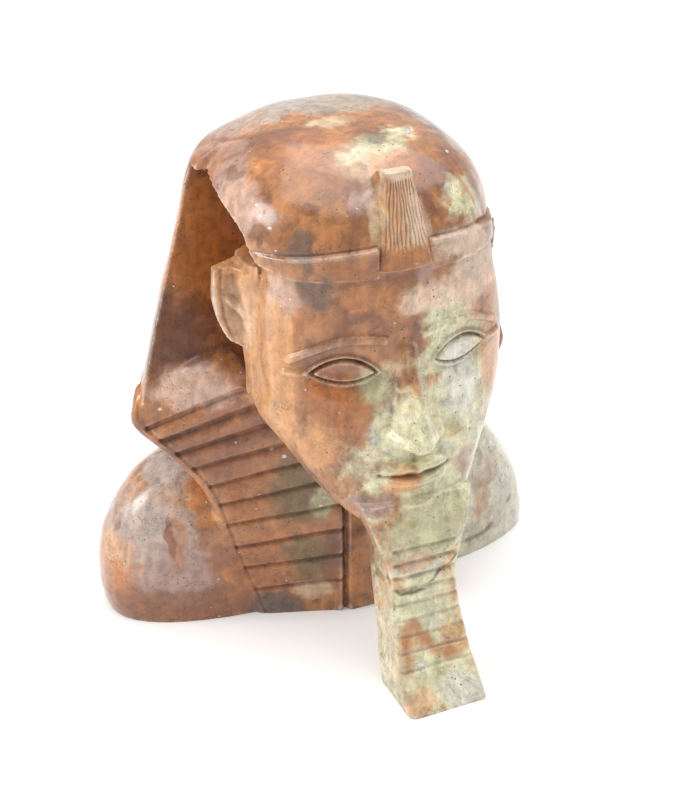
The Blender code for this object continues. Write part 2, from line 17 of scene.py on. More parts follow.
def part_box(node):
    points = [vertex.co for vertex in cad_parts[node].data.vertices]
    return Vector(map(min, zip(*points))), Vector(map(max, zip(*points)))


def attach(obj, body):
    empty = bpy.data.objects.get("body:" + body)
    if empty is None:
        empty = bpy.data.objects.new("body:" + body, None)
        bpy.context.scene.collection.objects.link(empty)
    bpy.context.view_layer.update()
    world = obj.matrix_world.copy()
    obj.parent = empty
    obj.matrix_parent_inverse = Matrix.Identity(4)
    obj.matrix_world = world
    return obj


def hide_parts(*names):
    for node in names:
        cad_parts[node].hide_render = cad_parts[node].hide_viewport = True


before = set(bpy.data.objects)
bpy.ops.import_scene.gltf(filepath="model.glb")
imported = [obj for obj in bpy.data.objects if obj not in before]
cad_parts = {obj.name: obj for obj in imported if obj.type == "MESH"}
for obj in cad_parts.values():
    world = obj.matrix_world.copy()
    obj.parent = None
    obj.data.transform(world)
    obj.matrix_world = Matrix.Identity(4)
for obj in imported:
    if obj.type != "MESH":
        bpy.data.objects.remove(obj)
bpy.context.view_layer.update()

bl_info = {
    "name": "Ruler Bust",
    "version": (1, 0, 0),
    "blender": (4, 5, 0),
    "location": "View3D > Sidebar > Bust",
    "description": "A carved and polished stone bust of a ruler, with its studio",
    "category": "Object",
}

CAD_LOW, CAD_HIGH = (Vector(corner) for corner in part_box("bust"))

# All forms are counted in parts of the height, of which there are 150.5
PARTS_TALL = 150.5
SHOULDER_LEFT, SHOULDER_RIGHT = 74.5, 65.5
CLOTH_LEFT, CLOTH_RIGHT = 67.0, 53.2
BEARD_HALF, BEARD_REACH = 12.0, 31.0
COBRA_HALF, COBRA_TALL = 7.9, 25.5
BAND_TALL = 7.4
TAIL_HALF = 9.0
RIGHT_EAR_CLOSER, EAR_LEAN, EAR_START = 0.955, 0.2, 14.0
EAR_REACH = ((93.0, 0.6), (95.0, 2.5), (97.0, 5.0), (100.5, 6.9), (105.5, 8.6), (111.0, 9.2), (119.0, 9.0))
TEMPLE_REACH = 40.3
EYE_OUT, EYE_HEIGHT = 17.5, 95.5
LAPPET_MIDDLE, LAPPET_INNER, LAPPET_RIM = 40.0, 8.0, 2.2

# How finely each piece is worked, in parts and in passes of smoothing
BODY_PASSES, CARVED_PASSES = 5, 1
COBRA_GRAIN, COBRA_PASSES, COBRA_TRIANGLES = 0.2, 3, 30000

# The camera, in degrees, parts and millimetres of lens, and the floor's half widths in metres
CAMERA_TURN, CAMERA_TILT = -23.8, 30.5
CAMERA_AIM, CAMERA_AWAY = (-18.4, 0.0, 89.5), 538.0
CAMERA_LENS, CAMERA_SENSOR = 89.9, 36.0
SEAMLESS_HALF, SHEET_HALF = 6.0, 0.6


# What a user may change

class BustSizes(PropertyGroup):
    """Sizes of the carving."""

    height: FloatProperty(
        name="Height", description="Height from the ground to the top of the headcloth",
        default=CAD_HIGH.z - CAD_LOW.z, min=0.05, max=1.0, unit="LENGTH")
    grain: FloatProperty(
        name="Grain", description="Size of the carving's cells, in parts of the height",
        default=0.45, min=0.3, max=2.0)
    triangles: IntProperty(
        name="Triangles", description="About how many triangles the bust keeps",
        default=168000, min=5000, max=190000)
    pleats: IntProperty(
        name="Pleats", description="Pleats on each front flap of the cloth", default=10, min=1, max=16)
    pleat_depth: FloatProperty(
        name="Pleat depth", description="Depth of the pleats, in parts of the height",
        default=0.85, min=0.1, max=2.0)
    beard_pitch: FloatProperty(
        name="Beard pitch", description="From one groove of the beard to the next, in parts of the height",
        default=4.3, min=2.0, max=10.0)


class StoneLook(PropertyGroup):
    """Colours and polish of the stone."""

    body: FloatVectorProperty(
        name="Body", description="Main orange-brown of the stone", subtype="COLOR",
        default=(0.44, 0.180, 0.062), min=0.0, max=1.0)
    shade: FloatVectorProperty(
        name="Shade", description="Darker clouds in the main colour", subtype="COLOR",
        default=(0.33, 0.130, 0.050), min=0.0, max=1.0)
    cream: FloatVectorProperty(
        name="Cream", description="The pale green-cream side of the block", subtype="COLOR",
        default=(0.75, 0.70, 0.45), min=0.0, max=1.0)
    polish: FloatProperty(
        name="Polish", description="Roughness of the polished surface", subtype="FACTOR",
        default=0.3, min=0.05, max=1.0)
    veins: FloatProperty(
        name="Veins", description="Strength of the dark veins and specks", subtype="FACTOR",
        default=1.0, min=0.0, max=1.0)


class StudioLook(PropertyGroup):
    """Floor and light."""

    floor_colour: FloatVectorProperty(
        name="Floor", description="Colour of the floor", subtype="COLOR",
        default=(0.94, 0.94, 0.94), min=0.0, max=1.0)
    floor_glow: FloatProperty(
        name="Floor glow", description="Light of the floor itself, as of paper lit from below", default=0.14,
        min=0.0, max=1.0)
    surround: FloatProperty(
        name="Surround", description="Strength of the even white light all round", default=0.55,
        min=0.0, max=5.0)
    overhead: FloatProperty(
        name="Overhead", description="Power of the large lamp above", unit="POWER",
        default=11.0, min=0.0, max=100.0)
    side: FloatProperty(
        name="Side", description="Power of the small lamp at the left", unit="POWER",
        default=3.4, min=0.0, max=100.0)
    seamless: BoolProperty(
        name="Seamless", description="Let the floor run out of the picture on every side", default=True)


# Curves and masks

def smooth_curve(x, stations):
    """Height to value through stations (x, value), without overshoot."""
    xs = np.array([s[0] for s in stations], float)
    ys = np.array([s[1] for s in stations], float)
    steps = np.diff(xs)
    slopes = np.diff(ys) / steps
    tangents = np.zeros(len(xs))
    tangents[0], tangents[-1] = slopes[0], slopes[-1]
    for i in range(1, len(xs) - 1):
        if slopes[i - 1] * slopes[i] > 0.0:
            tangents[i] = 2.0 * slopes[i - 1] * slopes[i] / (slopes[i - 1] + slopes[i])
    x = np.clip(np.asarray(x, float), xs[0], xs[-1])
    i = np.clip(np.searchsorted(xs, x) - 1, 0, len(xs) - 2)
    t = (x - xs[i]) / steps[i]
    rise = ys[i] * (1 + 2 * t) * (1 - t) ** 2 + ys[i + 1] * t * t * (3 - 2 * t)
    return rise + steps[i] * (tangents[i] * t * (1 - t) ** 2 - tangents[i + 1] * t * t * (1 - t))


def column(stations, which):
    """Stations of one measure out of rows whose first entry is the height."""
    return [(row[0], row[which]) for row in stations]


def oval(left, right, front, back, middle, front_power, back_power, back_taper=None, count=64):
    """A closed plan outline, seen from above, as (x, y) points in parts."""
    points = []
    for k in range(count):
        angle = 2.0 * math.pi * k / count
        c, s = math.cos(angle), math.sin(angle)
        power = back_power if s > 0.0 else front_power
        taper = back_taper if s > 0.0 and back_taper else power
        reach_x = right if c > 0.0 else left
        reach_y = back - middle if s > 0.0 else middle - front
        x = reach_x * math.copysign(abs(c) ** (2.0 / power), c)
        y = middle + reach_y * math.copysign(abs(s) ** (2.0 / taper), s)
        points.append((x, y))
    return points


def bell(distance, width):
    """1 at distance 0, falling smoothly to 0 at the width."""
    t = np.clip(np.abs(distance) / width, 0.0, 1.0)
    return (1.0 - t * t) ** 2


def ramp(value, low, high):
    """0 below low, 1 above high, smooth between."""
    t = np.clip((value - low) / (high - low), 0.0, 1.0)
    return t * t * (3.0 - 2.0 * t)


def lower_of(first, second, blend):
    """The lower of two values, with a smooth passage between them."""
    return -blend * np.logaddexp(-first / blend, -second / blend)


def unsteady(p, reach, seed):
    """A slow wander between -1 and 1 over the surface, as a hand leaves it."""
    x, y, z = (p[:, k] / reach for k in range(3))
    return (np.sin(x + 1.7 * y + 0.6 * z + seed) + np.sin(1.3 * z - 0.9 * x + 2.1 * seed)
            + np.sin(0.7 * y + 2.1 * z + 1.1 * x + 3.7 * seed)) / 3.0


# Tools for the rough forms

def keep(name, mesh):
    """A new object for a mesh, in the scene's own collection."""
    item = bpy.data.objects.new(name, mesh)
    bpy.context.scene.collection.objects.link(item)
    return item


def loft(name, rings):
    """A closed solid through rings of points."""
    bm = bmesh.new()
    loops = [[bm.verts.new(Vector(p)) for p in ring] for ring in rings]
    for low, high in zip(loops, loops[1:]):
        for i in range(len(low)):
            j = (i + 1) % len(low)
            bm.faces.new((low[i], low[j], high[j], high[i]))
    bm.faces.new(list(reversed(loops[0])))
    bm.faces.new(loops[-1])
    bmesh.ops.recalc_face_normals(bm, faces=bm.faces)
    mesh = bpy.data.meshes.new(name)
    bm.to_mesh(mesh)
    bm.free()
    return keep(name, mesh)


def apply_modifiers(item):
    """Replace an object's mesh by its evaluated mesh."""
    graph = bpy.context.evaluated_depsgraph_get()
    graph.update()
    mesh = bpy.data.meshes.new_from_object(item.evaluated_get(graph))
    item.modifiers.clear()
    item.data = mesh


def discard(*items):
    """Remove helper objects."""
    for item in items:
        bpy.data.objects.remove(item, do_unlink=True)


def cut(item, cutter, operation="DIFFERENCE"):
    """Boolean the item with a cutter, exactly."""
    change = item.modifiers.new("cut", "BOOLEAN")
    change.operation = operation
    change.solver = "EXACT"
    change.object = cutter
    apply_modifiers(item)


# The rough forms, in parts of the height

def cloth_front(z):
    """How far back the front of the cloth's wings stands at a height."""
    return 42.0 + 0.277 * (z - 73.0)


def crown():
    """The rounded top of the headcloth, a squared ellipsoid."""
    centre, radii, power = (0.0, 46.0, 123.3), (38.4, 42.6, 27.2), 2.6
    left_swell, back_taper, under_taper = 1.04, 0.24, 0.5
    bm = bmesh.new()
    bmesh.ops.create_uvsphere(bm, u_segments=192, v_segments=128, radius=1.0)
    for vert in bm.verts:
        size = sum(abs(c) ** power for c in vert.co) ** (-1.0 / power)
        x, y, z = (c * size for c in vert.co)
        x *= left_swell if x < 0.0 else 1.0 - 0.035 * (1.0 - max(z, 0.0))
        x *= 1.0 - back_taper * max(y, 0.0) ** 2
        x *= 1.0 - under_taper * max(-z, 0.0)
        y *= 1.0 - 0.3 * max(-z, 0.0)
        vert.co = Vector(c * r + o for c, r, o in zip((x, y, z), radii, centre))
    mesh = bpy.data.meshes.new("crown")
    bm.to_mesh(mesh)
    bm.free()
    return keep("crown", mesh)


def wings():
    """The cloth behind the head: it spreads from the crown to the shoulders."""
    spreads = (CLOTH_LEFT - 3.0, CLOTH_RIGHT - 2.5)
    tops = (39.5, 34.8)
    stations = (
        (50.0, -0.80, 84.0), (58.0, -0.40, 88.0), (65.0, 0.60, 89.5), (69.0, 0.90, 90.0),
        (72.5, 0.955, 90.0), (77.0, 0.93, 90.2), (84.0, 0.84, 90.4), (100.0, 0.604, 90.6),
        (124.0, 0.223, 89.8), (138.0, 0.0, 86.5), (140.0, -0.07, 84.8), (142.0, -0.20, 82.0),
        (144.0, -0.36, 79.0), (147.0, -0.7, 72.0),
    )
    rings = []
    for z in np.concatenate([np.arange(50.0, 138.0, 1.0), np.arange(138.0, 147.1, 0.5)]):
        share = float(smooth_curve(z, column(stations, 1)))
        back = float(smooth_curve(z, column(stations, 2)))
        front = cloth_front(z)
        if share > 0.0:
            reaches = [top + share * (spread - top) for top, spread in zip(tops, spreads)]
        else:
            reaches = [top + share * 27.0 for top in tops]
        plan = oval(reaches[0], reaches[1], front - 4.0, back, front, 8.0, 2.0, 1.5, count=128)
        rings.append([(x, y, z) for x, y in plan])
    return loft("wings", rings)


def face_opening():
    """What is cut from the cloth: all below the crown's rim and before the wings."""
    bends = ((12.0, 123.2), (17.0, 123.5), (20.5, 124.3), (23.5, 127.2), (26.5, 130.4), (33.0, 133.4),
             (45.0, 135.8))
    rim = tuple((y, float(smooth_curve(y, bends))) for y in np.arange(12.0, 45.1, 0.75))
    behind_lappets = ((50.0, 40.0), (50.0, 68.0))
    plane = tuple((cloth_front(z), z) for z in (75.0, 138.0))
    profile = rim[::-1] + ((-40.0, 123.2), (-40.0, 40.0)) + behind_lappets + plane
    return loft("face_opening", [[(x, y, z) for y, z in profile] for x in (-80.0, 80.0)])


def side_narrowing(y, z):
    """How far the sides of the head draw in behind the cheeks, under the headcloth."""
    return 1.0 - 0.0105 * np.clip(y - 14.0, 0.0, 38.0) * ramp(z, 74.0, 88.0)


def head():
    """The face and jaw: tilted rings, from the chin up to inside the crown."""
    right_swell = 1.05
    stations = (
        (45.5, 0.62, 25.0, -5.5, 2.1), (48.0, 0.61, 28.5, -8.6, 2.15), (53.0, 0.56, 31.5, -9.4, 2.15),
        (60.0, 0.46, 34.5, -7.2, 2.15), (68.0, 0.33, 37.0, -5.0, 2.2), (78.0, 0.20, 38.8, -2.4, 2.3),
        (88.0, 0.10, 39.8, 0.0, 2.35), (98.0, 0.03, 40.2, 1.2, 2.4), (108.0, 0.0, 39.6, 1.8, 2.45),
        (118.0, 0.0, 38.4, 2.8, 2.5), (130.0, 0.0, 36.6, 5.0, 2.5), (140.0, 0.0, 29.0, 14.0, 2.4),
    )
    rings = []
    for z in np.arange(45.5, 140.1, 0.75):
        slope, half, front, power = (float(smooth_curve(z, column(stations, k))) for k in (1, 2, 3, 4))
        right = half * (1.0 + (right_swell - 1.0) * float(1.0 - ramp(abs(z - 82.0), 10.0, 34.0)))
        plan = oval(half, right, front, 60.0, 37.0, power, 2.5, count=160)
        ring = [(x, y, z + slope * (y - front)) for x, y in plan]
        rings.append([(x * float(side_narrowing(y, h)), y, h) for x, y, h in ring])
    return loft("head", rings)


def nose():
    """A straight nose between the eyes and the mouth, a third of the face long."""
    stations = (
        (71.5, 4.5, -4.0), (73.0, 7.2, -10.0), (76.0, 8.2, -13.2), (79.0, 6.8, -12.6), (84.0, 5.2, -9.6),
        (90.0, 4.3, -6.0), (96.0, 4.2, -2.4), (102.0, 5.0, 0.4), (106.0, 5.5, 2.6),
    )
    rings = []
    for z in np.arange(71.5, 106.1, 0.5):
        half, front = (float(smooth_curve(z, column(stations, k))) for k in (1, 2))
        plan = oval(half, half, front, 14.0, 5.0, 1.8, 2.0)
        rings.append([(x, y, z) for x, y in plan])
    return loft("nose", rings)


def temple(side):
    """The strip before the ear, from the cheek up under the headcloth."""
    low = ((34.5, 22.5), (38.2, 26.0), (39.2, 30.0), (38.6, 33.0), (28.0, 35.0))
    high = ((36.0, 23.5), (38.8, 28.0), (TEMPLE_REACH, 36.0), (40.0, 38.6), (28.0, 41.0))
    closer = 1.0 if side < 0.0 else RIGHT_EAR_CLOSER
    rings = []
    for z in np.arange(80.0, 121.1, 0.75):
        grown = float(ramp(z, 86.0, 106.0))
        plan = [(a[0] + (b[0] - a[0]) * grown, a[1] + (b[1] - a[1]) * grown) for a, b in zip(low, high)]
        rise = 0.25 * float(ramp(z, 108.0, 121.0))
        rings.append([(side * (x - EAR_LEAN * (y - EAR_START)) * closer, y, z + rise * (TEMPLE_REACH - x))
                      for x, y in plan])
    return loft("temple", rings)


def ear(side):
    """One ear: a plate that stands off, flat on top, hollow before its rim, pointed at the lobe."""
    closer = 1.0 if side < 0.0 else RIGHT_EAR_CLOSER
    rings = []
    for z in np.arange(93.0, 119.1, 0.75):
        reach = float(smooth_curve(z, EAR_REACH))
        sink = 2.2 * (1.0 - float(ramp(z, 92.0, 98.0)))
        plan = ((38.0 + 0.06 * reach, 26.0 + 0.22 * reach), (38.4 + 0.40 * reach, 27.5 + 0.60 * reach),
                (38.4 + reach, 28.0 + 0.48 * reach), (38.6 + reach, 31.0 + 0.58 * reach),
                (38.0 + 0.33 * reach, 31.5 + 0.83 * reach), (30.0, 33.0 + 0.7 * reach))
        rings.append([(side * (x - sink - EAR_LEAN * (y - EAR_START)) * closer, y, z) for x, y in plan])
    return loft("ear", rings)


def neck():
    """The neck, from the chest up behind the jaw."""
    rings = []
    for z, half, front in ((20.0, 26.0, 26.0), (44.0, 24.0, 27.0), (52.0, 23.5, 29.5), (86.0, 23.0, 24.0)):
        plan = oval(half, half, front, 70.0, 48.0, 2.2, 2.2)
        rings.append([(x, y, z) for x, y in plan])
    return loft("neck", rings)


def pleat_slope(z):
    """How steeply the pleats fall outward, by their height at the lappet's middle."""
    return 0.08 + 0.49 * (np.clip(z, 0.0, 92.0) / 91.5) ** 1.7


def lappet_outer(z, side):
    """How far out a lappet's edge lies, by its pleat height, as the cloth's spread sets it."""
    share = smooth_curve(z, (
        (-4.0, 0.478), (0.0, 0.498), (8.6, 0.538), (16.3, 0.576), (24.3, 0.612), (32.4, 0.642),
        (41.6, 0.678), (49.3, 0.722), (56.7, 0.786), (63.6, 0.846), (70.0, 0.902), (76.3, 0.954),
        (80.0, 0.974), (84.5, 0.985), (89.0, 0.978), (90.5, 0.955), (91.8, 0.91), (92.2, 0.85),
    ))
    return share * np.where(side < 0.0, CLOTH_LEFT, CLOTH_RIGHT)


def lappet_top(x, y):
    """The rounded top of a lappet, where it rolls back under the cloth's wing."""
    before = np.clip(46.0 - y, 0.0, 14.0)
    return 86.5 - 0.0125 * (x - 38.0) ** 2 - 0.05 * before ** 2


def lappet_edge(z, side):
    """How far out the upper end of a lappet may reach, in line with the cloth's edge."""
    spread = CLOTH_LEFT if side < 0.0 else CLOTH_RIGHT
    return spread * (0.975 - 0.0064 * (z - 72.0))


def lappet(side):
    """One front flap of the cloth, from the wing's top down to the ground."""
    stations = (
        (-4.0, 8.0, 0.0), (32.4, 8.2, 0.0), (41.6, 8.8, 0.0), (49.3, 11.0, 0.0), (56.7, 14.0, 0.0),
        (63.6, 18.0, 0.0), (70.0, 23.0, 0.0), (76.3, 28.0, 0.2), (84.0, 31.0, 0.8), (88.5, 33.0, 2.6),
        (90.5, 34.0, 4.6), (91.8, 34.5, 8.0), (92.2, 35.0, 13.0),
    )
    heights = np.concatenate([np.arange(-4.0, 84.0, 1.0), np.arange(84.0, 92.0, 0.4), [92.2]])
    rings = []
    for z in heights:
        inner, inset = (float(smooth_curve(z, column(stations, k))) for k in (1, 2))
        outer = float(lappet_outer(z, side))
        slope = float(pleat_slope(max(z, 0.0)))
        rim = 1.6
        front = [inner, inner + 0.6, inner + rim]
        front += list(np.linspace(inner + rim, outer - rim, 24)[1:-1])
        front += [outer - rim, outer - 0.5, outer]
        setback = [1.4, 0.5, 0.0] + [0.0] * 22 + [0.0, 0.5, 1.5]
        ring = [(x, 22.0 + 0.33 * x + inset + s) for x, s in zip(front, setback)]
        ring += [(outer - 4.0, 28.0 + 0.33 * outer), (outer - 10.0, 54.0), (inner, 58.0)]
        ring = [(x, y, z - slope * (x - LAPPET_MIDDLE)) for x, y in ring]
        ring = [(x, y, lower_of(h, lappet_top(x, y), 1.2)) for x, y, h in ring]
        rings.append([(side * lower_of(x, lappet_edge(h, side), 0.5), y, h) for x, y, h in ring])
    return loft("lappet", rings)


def chest():
    """The strip of chest between the lappets."""
    rings = []
    for z, front in ((-4.0, 23.6), (34.0, 24.0), (42.0, 25.0), (48.0, 28.0), (52.0, 33.0)):
        plan = oval(13.0, 13.0, front, 60.0, 42.0, 5.0, 3.0)
        rings.append([(x, y, z) for x, y in plan])
    return loft("chest", rings)


def shoulders():
    """The rounded shoulders, cut flat below: the bust's main footing."""
    stations = (
        (-4.0, 0.95, 0.99, 26.0), (0.0, 0.975, 1.005, 27.2), (4.0, 0.99, 1.01, 27.6),
        (9.0, 1.0, 1.0, 27.8), (16.0, 0.998, 0.975, 28.0), (24.0, 0.98, 0.93, 27.6),
        (30.0, 0.945, 0.88, 26.6), (38.0, 0.875, 0.79, 24.0), (43.0, 0.80, 0.715, 20.5),
        (47.0, 0.69, 0.62, 16.0), (49.5, 0.57, 0.51, 12.0), (51.5, 0.42, 0.38, 8.0),
        (53.0, 0.15, 0.14, 3.0),
    )
    rings = []
    for z in np.concatenate([np.arange(-4.0, 46.0, 1.0), np.arange(46.0, 53.1, 0.25)]):
        near, far, depth = (float(smooth_curve(z, column(stations, k))) for k in (1, 2, 3))
        plan = oval(SHOULDER_LEFT * near, SHOULDER_RIGHT * far, 56.0 - 0.85 * depth, 60.0 + depth, 56.0,
                    2.5, 2.1, count=192)
        rings.append([(x, y, z) for x, y in plan])
    return loft("shoulders", rings)


def beard_measures(z):
    """Front, back and half width of the beard at a height."""
    stations = (
        (-4.0, -BEARD_REACH - 3.0, -11.5, 1.03), (0.0, -BEARD_REACH, -10.0, 1.02),
        (6.0, 0.82 * -BEARD_REACH, -7.0, 1.0), (12.0, 0.68 * -BEARD_REACH, -4.5, 0.95),
        (20.0, 0.55 * -BEARD_REACH, -1.5, 0.90), (30.0, 0.435 * -BEARD_REACH, 3.0, 0.85),
        (40.0, -12.5, 6.5, 0.835), (50.0, -11.0, 9.5, 0.87), (58.0, -8.0, 13.0, 0.9),
    )
    front, back, half = (smooth_curve(z, column(stations, k)) for k in (1, 2, 3))
    return front, back, half * BEARD_HALF


def beard():
    """The false beard: a squared post that flares forward to the ground."""
    rings = []
    for z in np.arange(-4.0, 58.1, 1.0):
        front, back, half = (float(v) for v in beard_measures(z))
        edge = 1.3
        right = [(half, back - edge), (half - edge, back)]
        left = [(-half + edge, back), (-half, back - edge)]
        near = [(-half, front + edge), (-half + edge, front), (half - edge, front), (half, front + edge)]
        rings.append([(x, y, z) for x, y in near + right + left])
    return loft("beard", rings)


def beard_plate():
    """The strap under the jaw: it narrows down onto the beard's front edges."""
    stations = ((33.0, 9.6, 1.0), (38.0, 10.8, 2.6), (44.0, 12.6, 4.0), (50.0, 14.8, 6.0), (58.0, 17.0, 12.0))
    rings = []
    for z in np.arange(33.0, 58.1, 0.5):
        half, depth = (float(smooth_curve(z, column(stations, k))) for k in (1, 2))
        front = float(beard_measures(z)[0])
        near = [(-half, front + 0.6 + 0.10 * (half - 9.6)), (-half + 3.0, front - 0.3), (0.0, front - 0.4),
                (half - 3.0, front - 0.3), (half, front + 0.6 + 0.10 * (half - 9.6))]
        far = [(half, front + 1.2 + depth), (-half, front + 1.2 + depth)]
        rings.append([(x, y, z) for x, y in near + far])
    return loft("beard_plate", rings)


def tail():
    """The gathered end of the cloth, a plain strip down the back."""
    rings = []
    for z, share, proud in ((14.0, 0.62, 88.5), (17.0, 0.66, 90.6), (40.0, 0.78, 91.4), (62.0, 0.95, 91.8),
                            (74.0, 1.1, 91.6), (84.0, 1.3, 90.0)):
        half = TAIL_HALF * share
        plan = oval(half, half, 70.0, proud, 80.0, 4.0, 3.0, count=48)
        rings.append([(x, y, z) for x, y in plan])
    return loft("tail", rings)


def cobra():
    """The worn cobra on the brow: a tapering block that leans back on the crown."""
    rings = []
    for share in np.linspace(0.0, 1.0, 26):
        z = 150.0 - COBRA_TALL * (1.0 - share)
        half = COBRA_HALF * (1.0 - 0.53 * share)
        front = 1.0 + 6.5 * share ** 1.2
        back = 10.5 + 14.0 * (1.0 - share) ** 0.5
        bow = 0.24 * half
        near = [(half * math.sin(a), front + bow * (1.0 - math.cos(a)))
                for a in np.linspace(-0.5 * math.pi, 0.5 * math.pi, 21)]
        far = [(half, back), (-half, back)]
        rings.append([(x, y, z) for x, y in near + far])
    return loft("cobra", rings)


# Carving: every function takes points, normals and sizes and returns a depth

def carve_band(p, n, sizes):
    """The headband stands proud of the crown, level from temple to temple."""
    x, y, z = np.abs(p[:, 0]), p[:, 1], p[:, 2]
    top = 123.6 + BAND_TALL * (1.0 - 0.45 * (x / 36.0) ** 2) + 0.25 * unsteady(p, 9.0, 1.0)
    inside = ramp(z, 122.2, 122.7) * (1.0 - ramp(z, top - 0.25, top + 0.25))
    lip = 0.35 * bell(z - top + 0.6, 0.8) - 0.35 * bell(z - top - 0.5, 0.7)
    reach = 1.0 - ramp(y, 19.0, 27.0)
    off_cobra = ramp(x, COBRA_HALF - 1.0, COBRA_HALF)
    relief = (1.1 * inside + lip) * reach * off_cobra * ramp(n[:, 2], -0.7, -0.3)
    return relief * (1.0 - 0.6 * ramp(x, 27.0, 36.0))


def pleat_height(p):
    """The height at the lappet's middle of the pleat line through a point."""
    x = np.abs(p[:, 0])
    height = p[:, 2].copy()
    for _ in range(6):
        height = p[:, 2] + pleat_slope(height) * (x - LAPPET_MIDDLE)
    return height


def on_lappets(p, n, height):
    """1 on the front faces of the lappets, inside their plain rims."""
    x, y = np.abs(p[:, 0]), p[:, 1]
    outer = lappet_outer(height, np.sign(p[:, 0]))
    near = 1.0 - ramp(np.abs(y - 22.0 - 0.33 * x), 1.6, 3.0)
    inside = ramp(x, LAPPET_INNER - 1.0, LAPPET_INNER + 0.5)
    inside = inside * (1.0 - ramp(x, outer - LAPPET_RIM, outer - 1.4))
    return near * ramp(-n[:, 1], 0.45, 0.75) * inside


def pleat_lines(p, sizes):
    """Distance to the nearest pleat line, that line's height, and the run between lines."""
    height = pleat_height(p) + 0.35 * unsteady(p, 6.0, 2.0)
    count = np.arange(sizes.pleats)
    lines = 8.6 + 8.35 * count - 0.092 * count ** 2
    index = np.interp(height, lines, count)
    nearest = lines[np.clip(np.round(index).astype(int), 0, sizes.pleats - 1)]
    return height - nearest, nearest, index


def carve_pleats(p, n, sizes):
    """The pleats of the lappets: soft and wide above, narrow lines below."""
    away, nearest, index = pleat_lines(p, sizes)
    wide = 0.9 + 1.3 * ramp(nearest, 45.0, 76.0)
    deep = sizes.pleat_depth * (0.9 + 0.5 * ramp(nearest, 45.0, 76.0))
    swell = 0.28 * np.cos(2.0 * np.pi * (index - 0.5)) * ramp(pleat_height(p), 4.0, 10.0)
    step = 0.35 * ramp(away, -0.4, 0.4) * bell(away, 3.2)
    return (step + swell - deep * bell(away, wide)) * on_lappets(p, n, pleat_height(p))


def carve_rims(p, n, sizes):
    """The groove inside each lappet's plain outer rim."""
    height = pleat_height(p)
    x, y = np.abs(p[:, 0]), p[:, 1]
    outer = lappet_outer(height, np.sign(p[:, 0]))
    near = 1.0 - ramp(np.abs(y - 22.0 - 0.33 * x), 1.6, 3.0)
    groove = -0.35 * bell(x - outer + 2.3, 0.8)
    return groove * near * ramp(-n[:, 1], 0.45, 0.75) * (1.0 - ramp(height, 74.0, 80.0))


def carve_inner_edges(p, n, sizes):
    """The upright groove between each lappet and the chest."""
    x, y, z = np.abs(p[:, 0]), p[:, 1], p[:, 2]
    front = (1.0 - ramp(y, 27.0, 29.0)) * ramp(y, 18.0, 20.0) * ramp(-n[:, 1], 0.3, 0.6)
    return -1.8 * bell(x - LAPPET_INNER, 1.5) * front * (1.0 - ramp(z, 44.0, 52.0))


def beard_lines(z, sizes):
    """Distance to the nearest groove of the beard."""
    offset = (z - 10.0) / sizes.beard_pitch
    return (offset - np.round(offset)) * sizes.beard_pitch


def carve_beard(p, n, sizes):
    """Level grooves across the front of the beard, worn to nothing near the ground."""
    x, y, z = np.abs(p[:, 0]), p[:, 1], p[:, 2] + 0.25 * unsteady(p, 5.0, 4.0)
    front, back, half = beard_measures(z)
    face = (1.0 - ramp(y, front + 1.6, front + 2.6)) * (1.0 - ramp(x, half - 1.0, half + 0.5))
    span = ramp(z, 5.0, 12.0) * (1.0 - ramp(z, 45.0, 47.0))
    away = beard_lines(z, sizes)
    deep = 0.42 + 0.1 * ramp(z, 26.0, 34.0)
    swell = 0.12 * np.cos(np.pi * away / (0.5 * sizes.beard_pitch) + np.pi)
    return (-deep * bell(away, 0.9) + swell) * face * span


def carve_eyes(p, n, sizes):
    """Almond eyes under raised brows, with a painted-style line to the temple."""
    x, y, z = np.abs(p[:, 0]), p[:, 1], p[:, 2]
    front = ramp(-n[:, 1], 0.25, 0.5) * (1.0 - ramp(y, 24.0, 28.0))
    across, up = x - EYE_OUT, z - EYE_HEIGHT - 0.03 * (x - EYE_OUT)
    socket = bell(np.hypot(across / 13.0, up / 8.5), 1.0)
    shape = 1.0 - (across / 9.0) ** 2
    lid = np.where(up > 0.0, up / 4.4, -up / 3.2)
    inside = shape - lid
    ball = ramp(inside, 0.02, 0.3)
    crease = bell(inside - 0.06, 0.16) * (np.abs(across) < 9.4)
    rim = bell(inside + 0.14, 0.22) * (np.abs(across) < 10.5)
    arch = 103.2 + 2.4 * bell(x - 16.0, 16.0) - 0.018 * np.clip(x - 16.0, 0.0, 30.0) ** 2
    brow = (1.0 - ramp(np.abs(z - arch), 0.8, 1.4)) * ramp(x, 5.0, 6.5) * (1.0 - ramp(x, 30.0, 32.0))
    line = (1.0 - ramp(np.abs(up + 0.4), 0.5, 1.1)) * ramp(x, 26.0, 27.5) * (1.0 - ramp(x, 31.5, 33.0))
    depth = -3.0 * socket + 1.8 * ball + 1.35 * rim - 0.75 * crease + 1.15 * brow + 0.95 * line
    return depth * front


def carve_nose(p, n, sizes):
    """The wings of the nose and the nostrils under them."""
    x, y, z = np.abs(p[:, 0]), p[:, 1], p[:, 2]
    near = 1.0 - ramp(y, 1.0, 4.0)
    wing = bell(np.hypot((x - 6.6) / 2.6, (z - 75.6) / 3.2), 1.0)
    crease = bell(np.hypot(x - 6.6, z - 75.6) - 4.0, 0.9) * ramp(x, 5.5, 7.5)
    nostril = bell(np.hypot((x - 3.3) / 1.9, (y + 8.2) / 2.4), 1.0) * ramp(-n[:, 2], 0.35, 0.7)
    return (0.8 * wing - 0.45 * crease) * near * ramp(-n[:, 1] + x * 0.05, 0.1, 0.4) - 1.5 * nostril


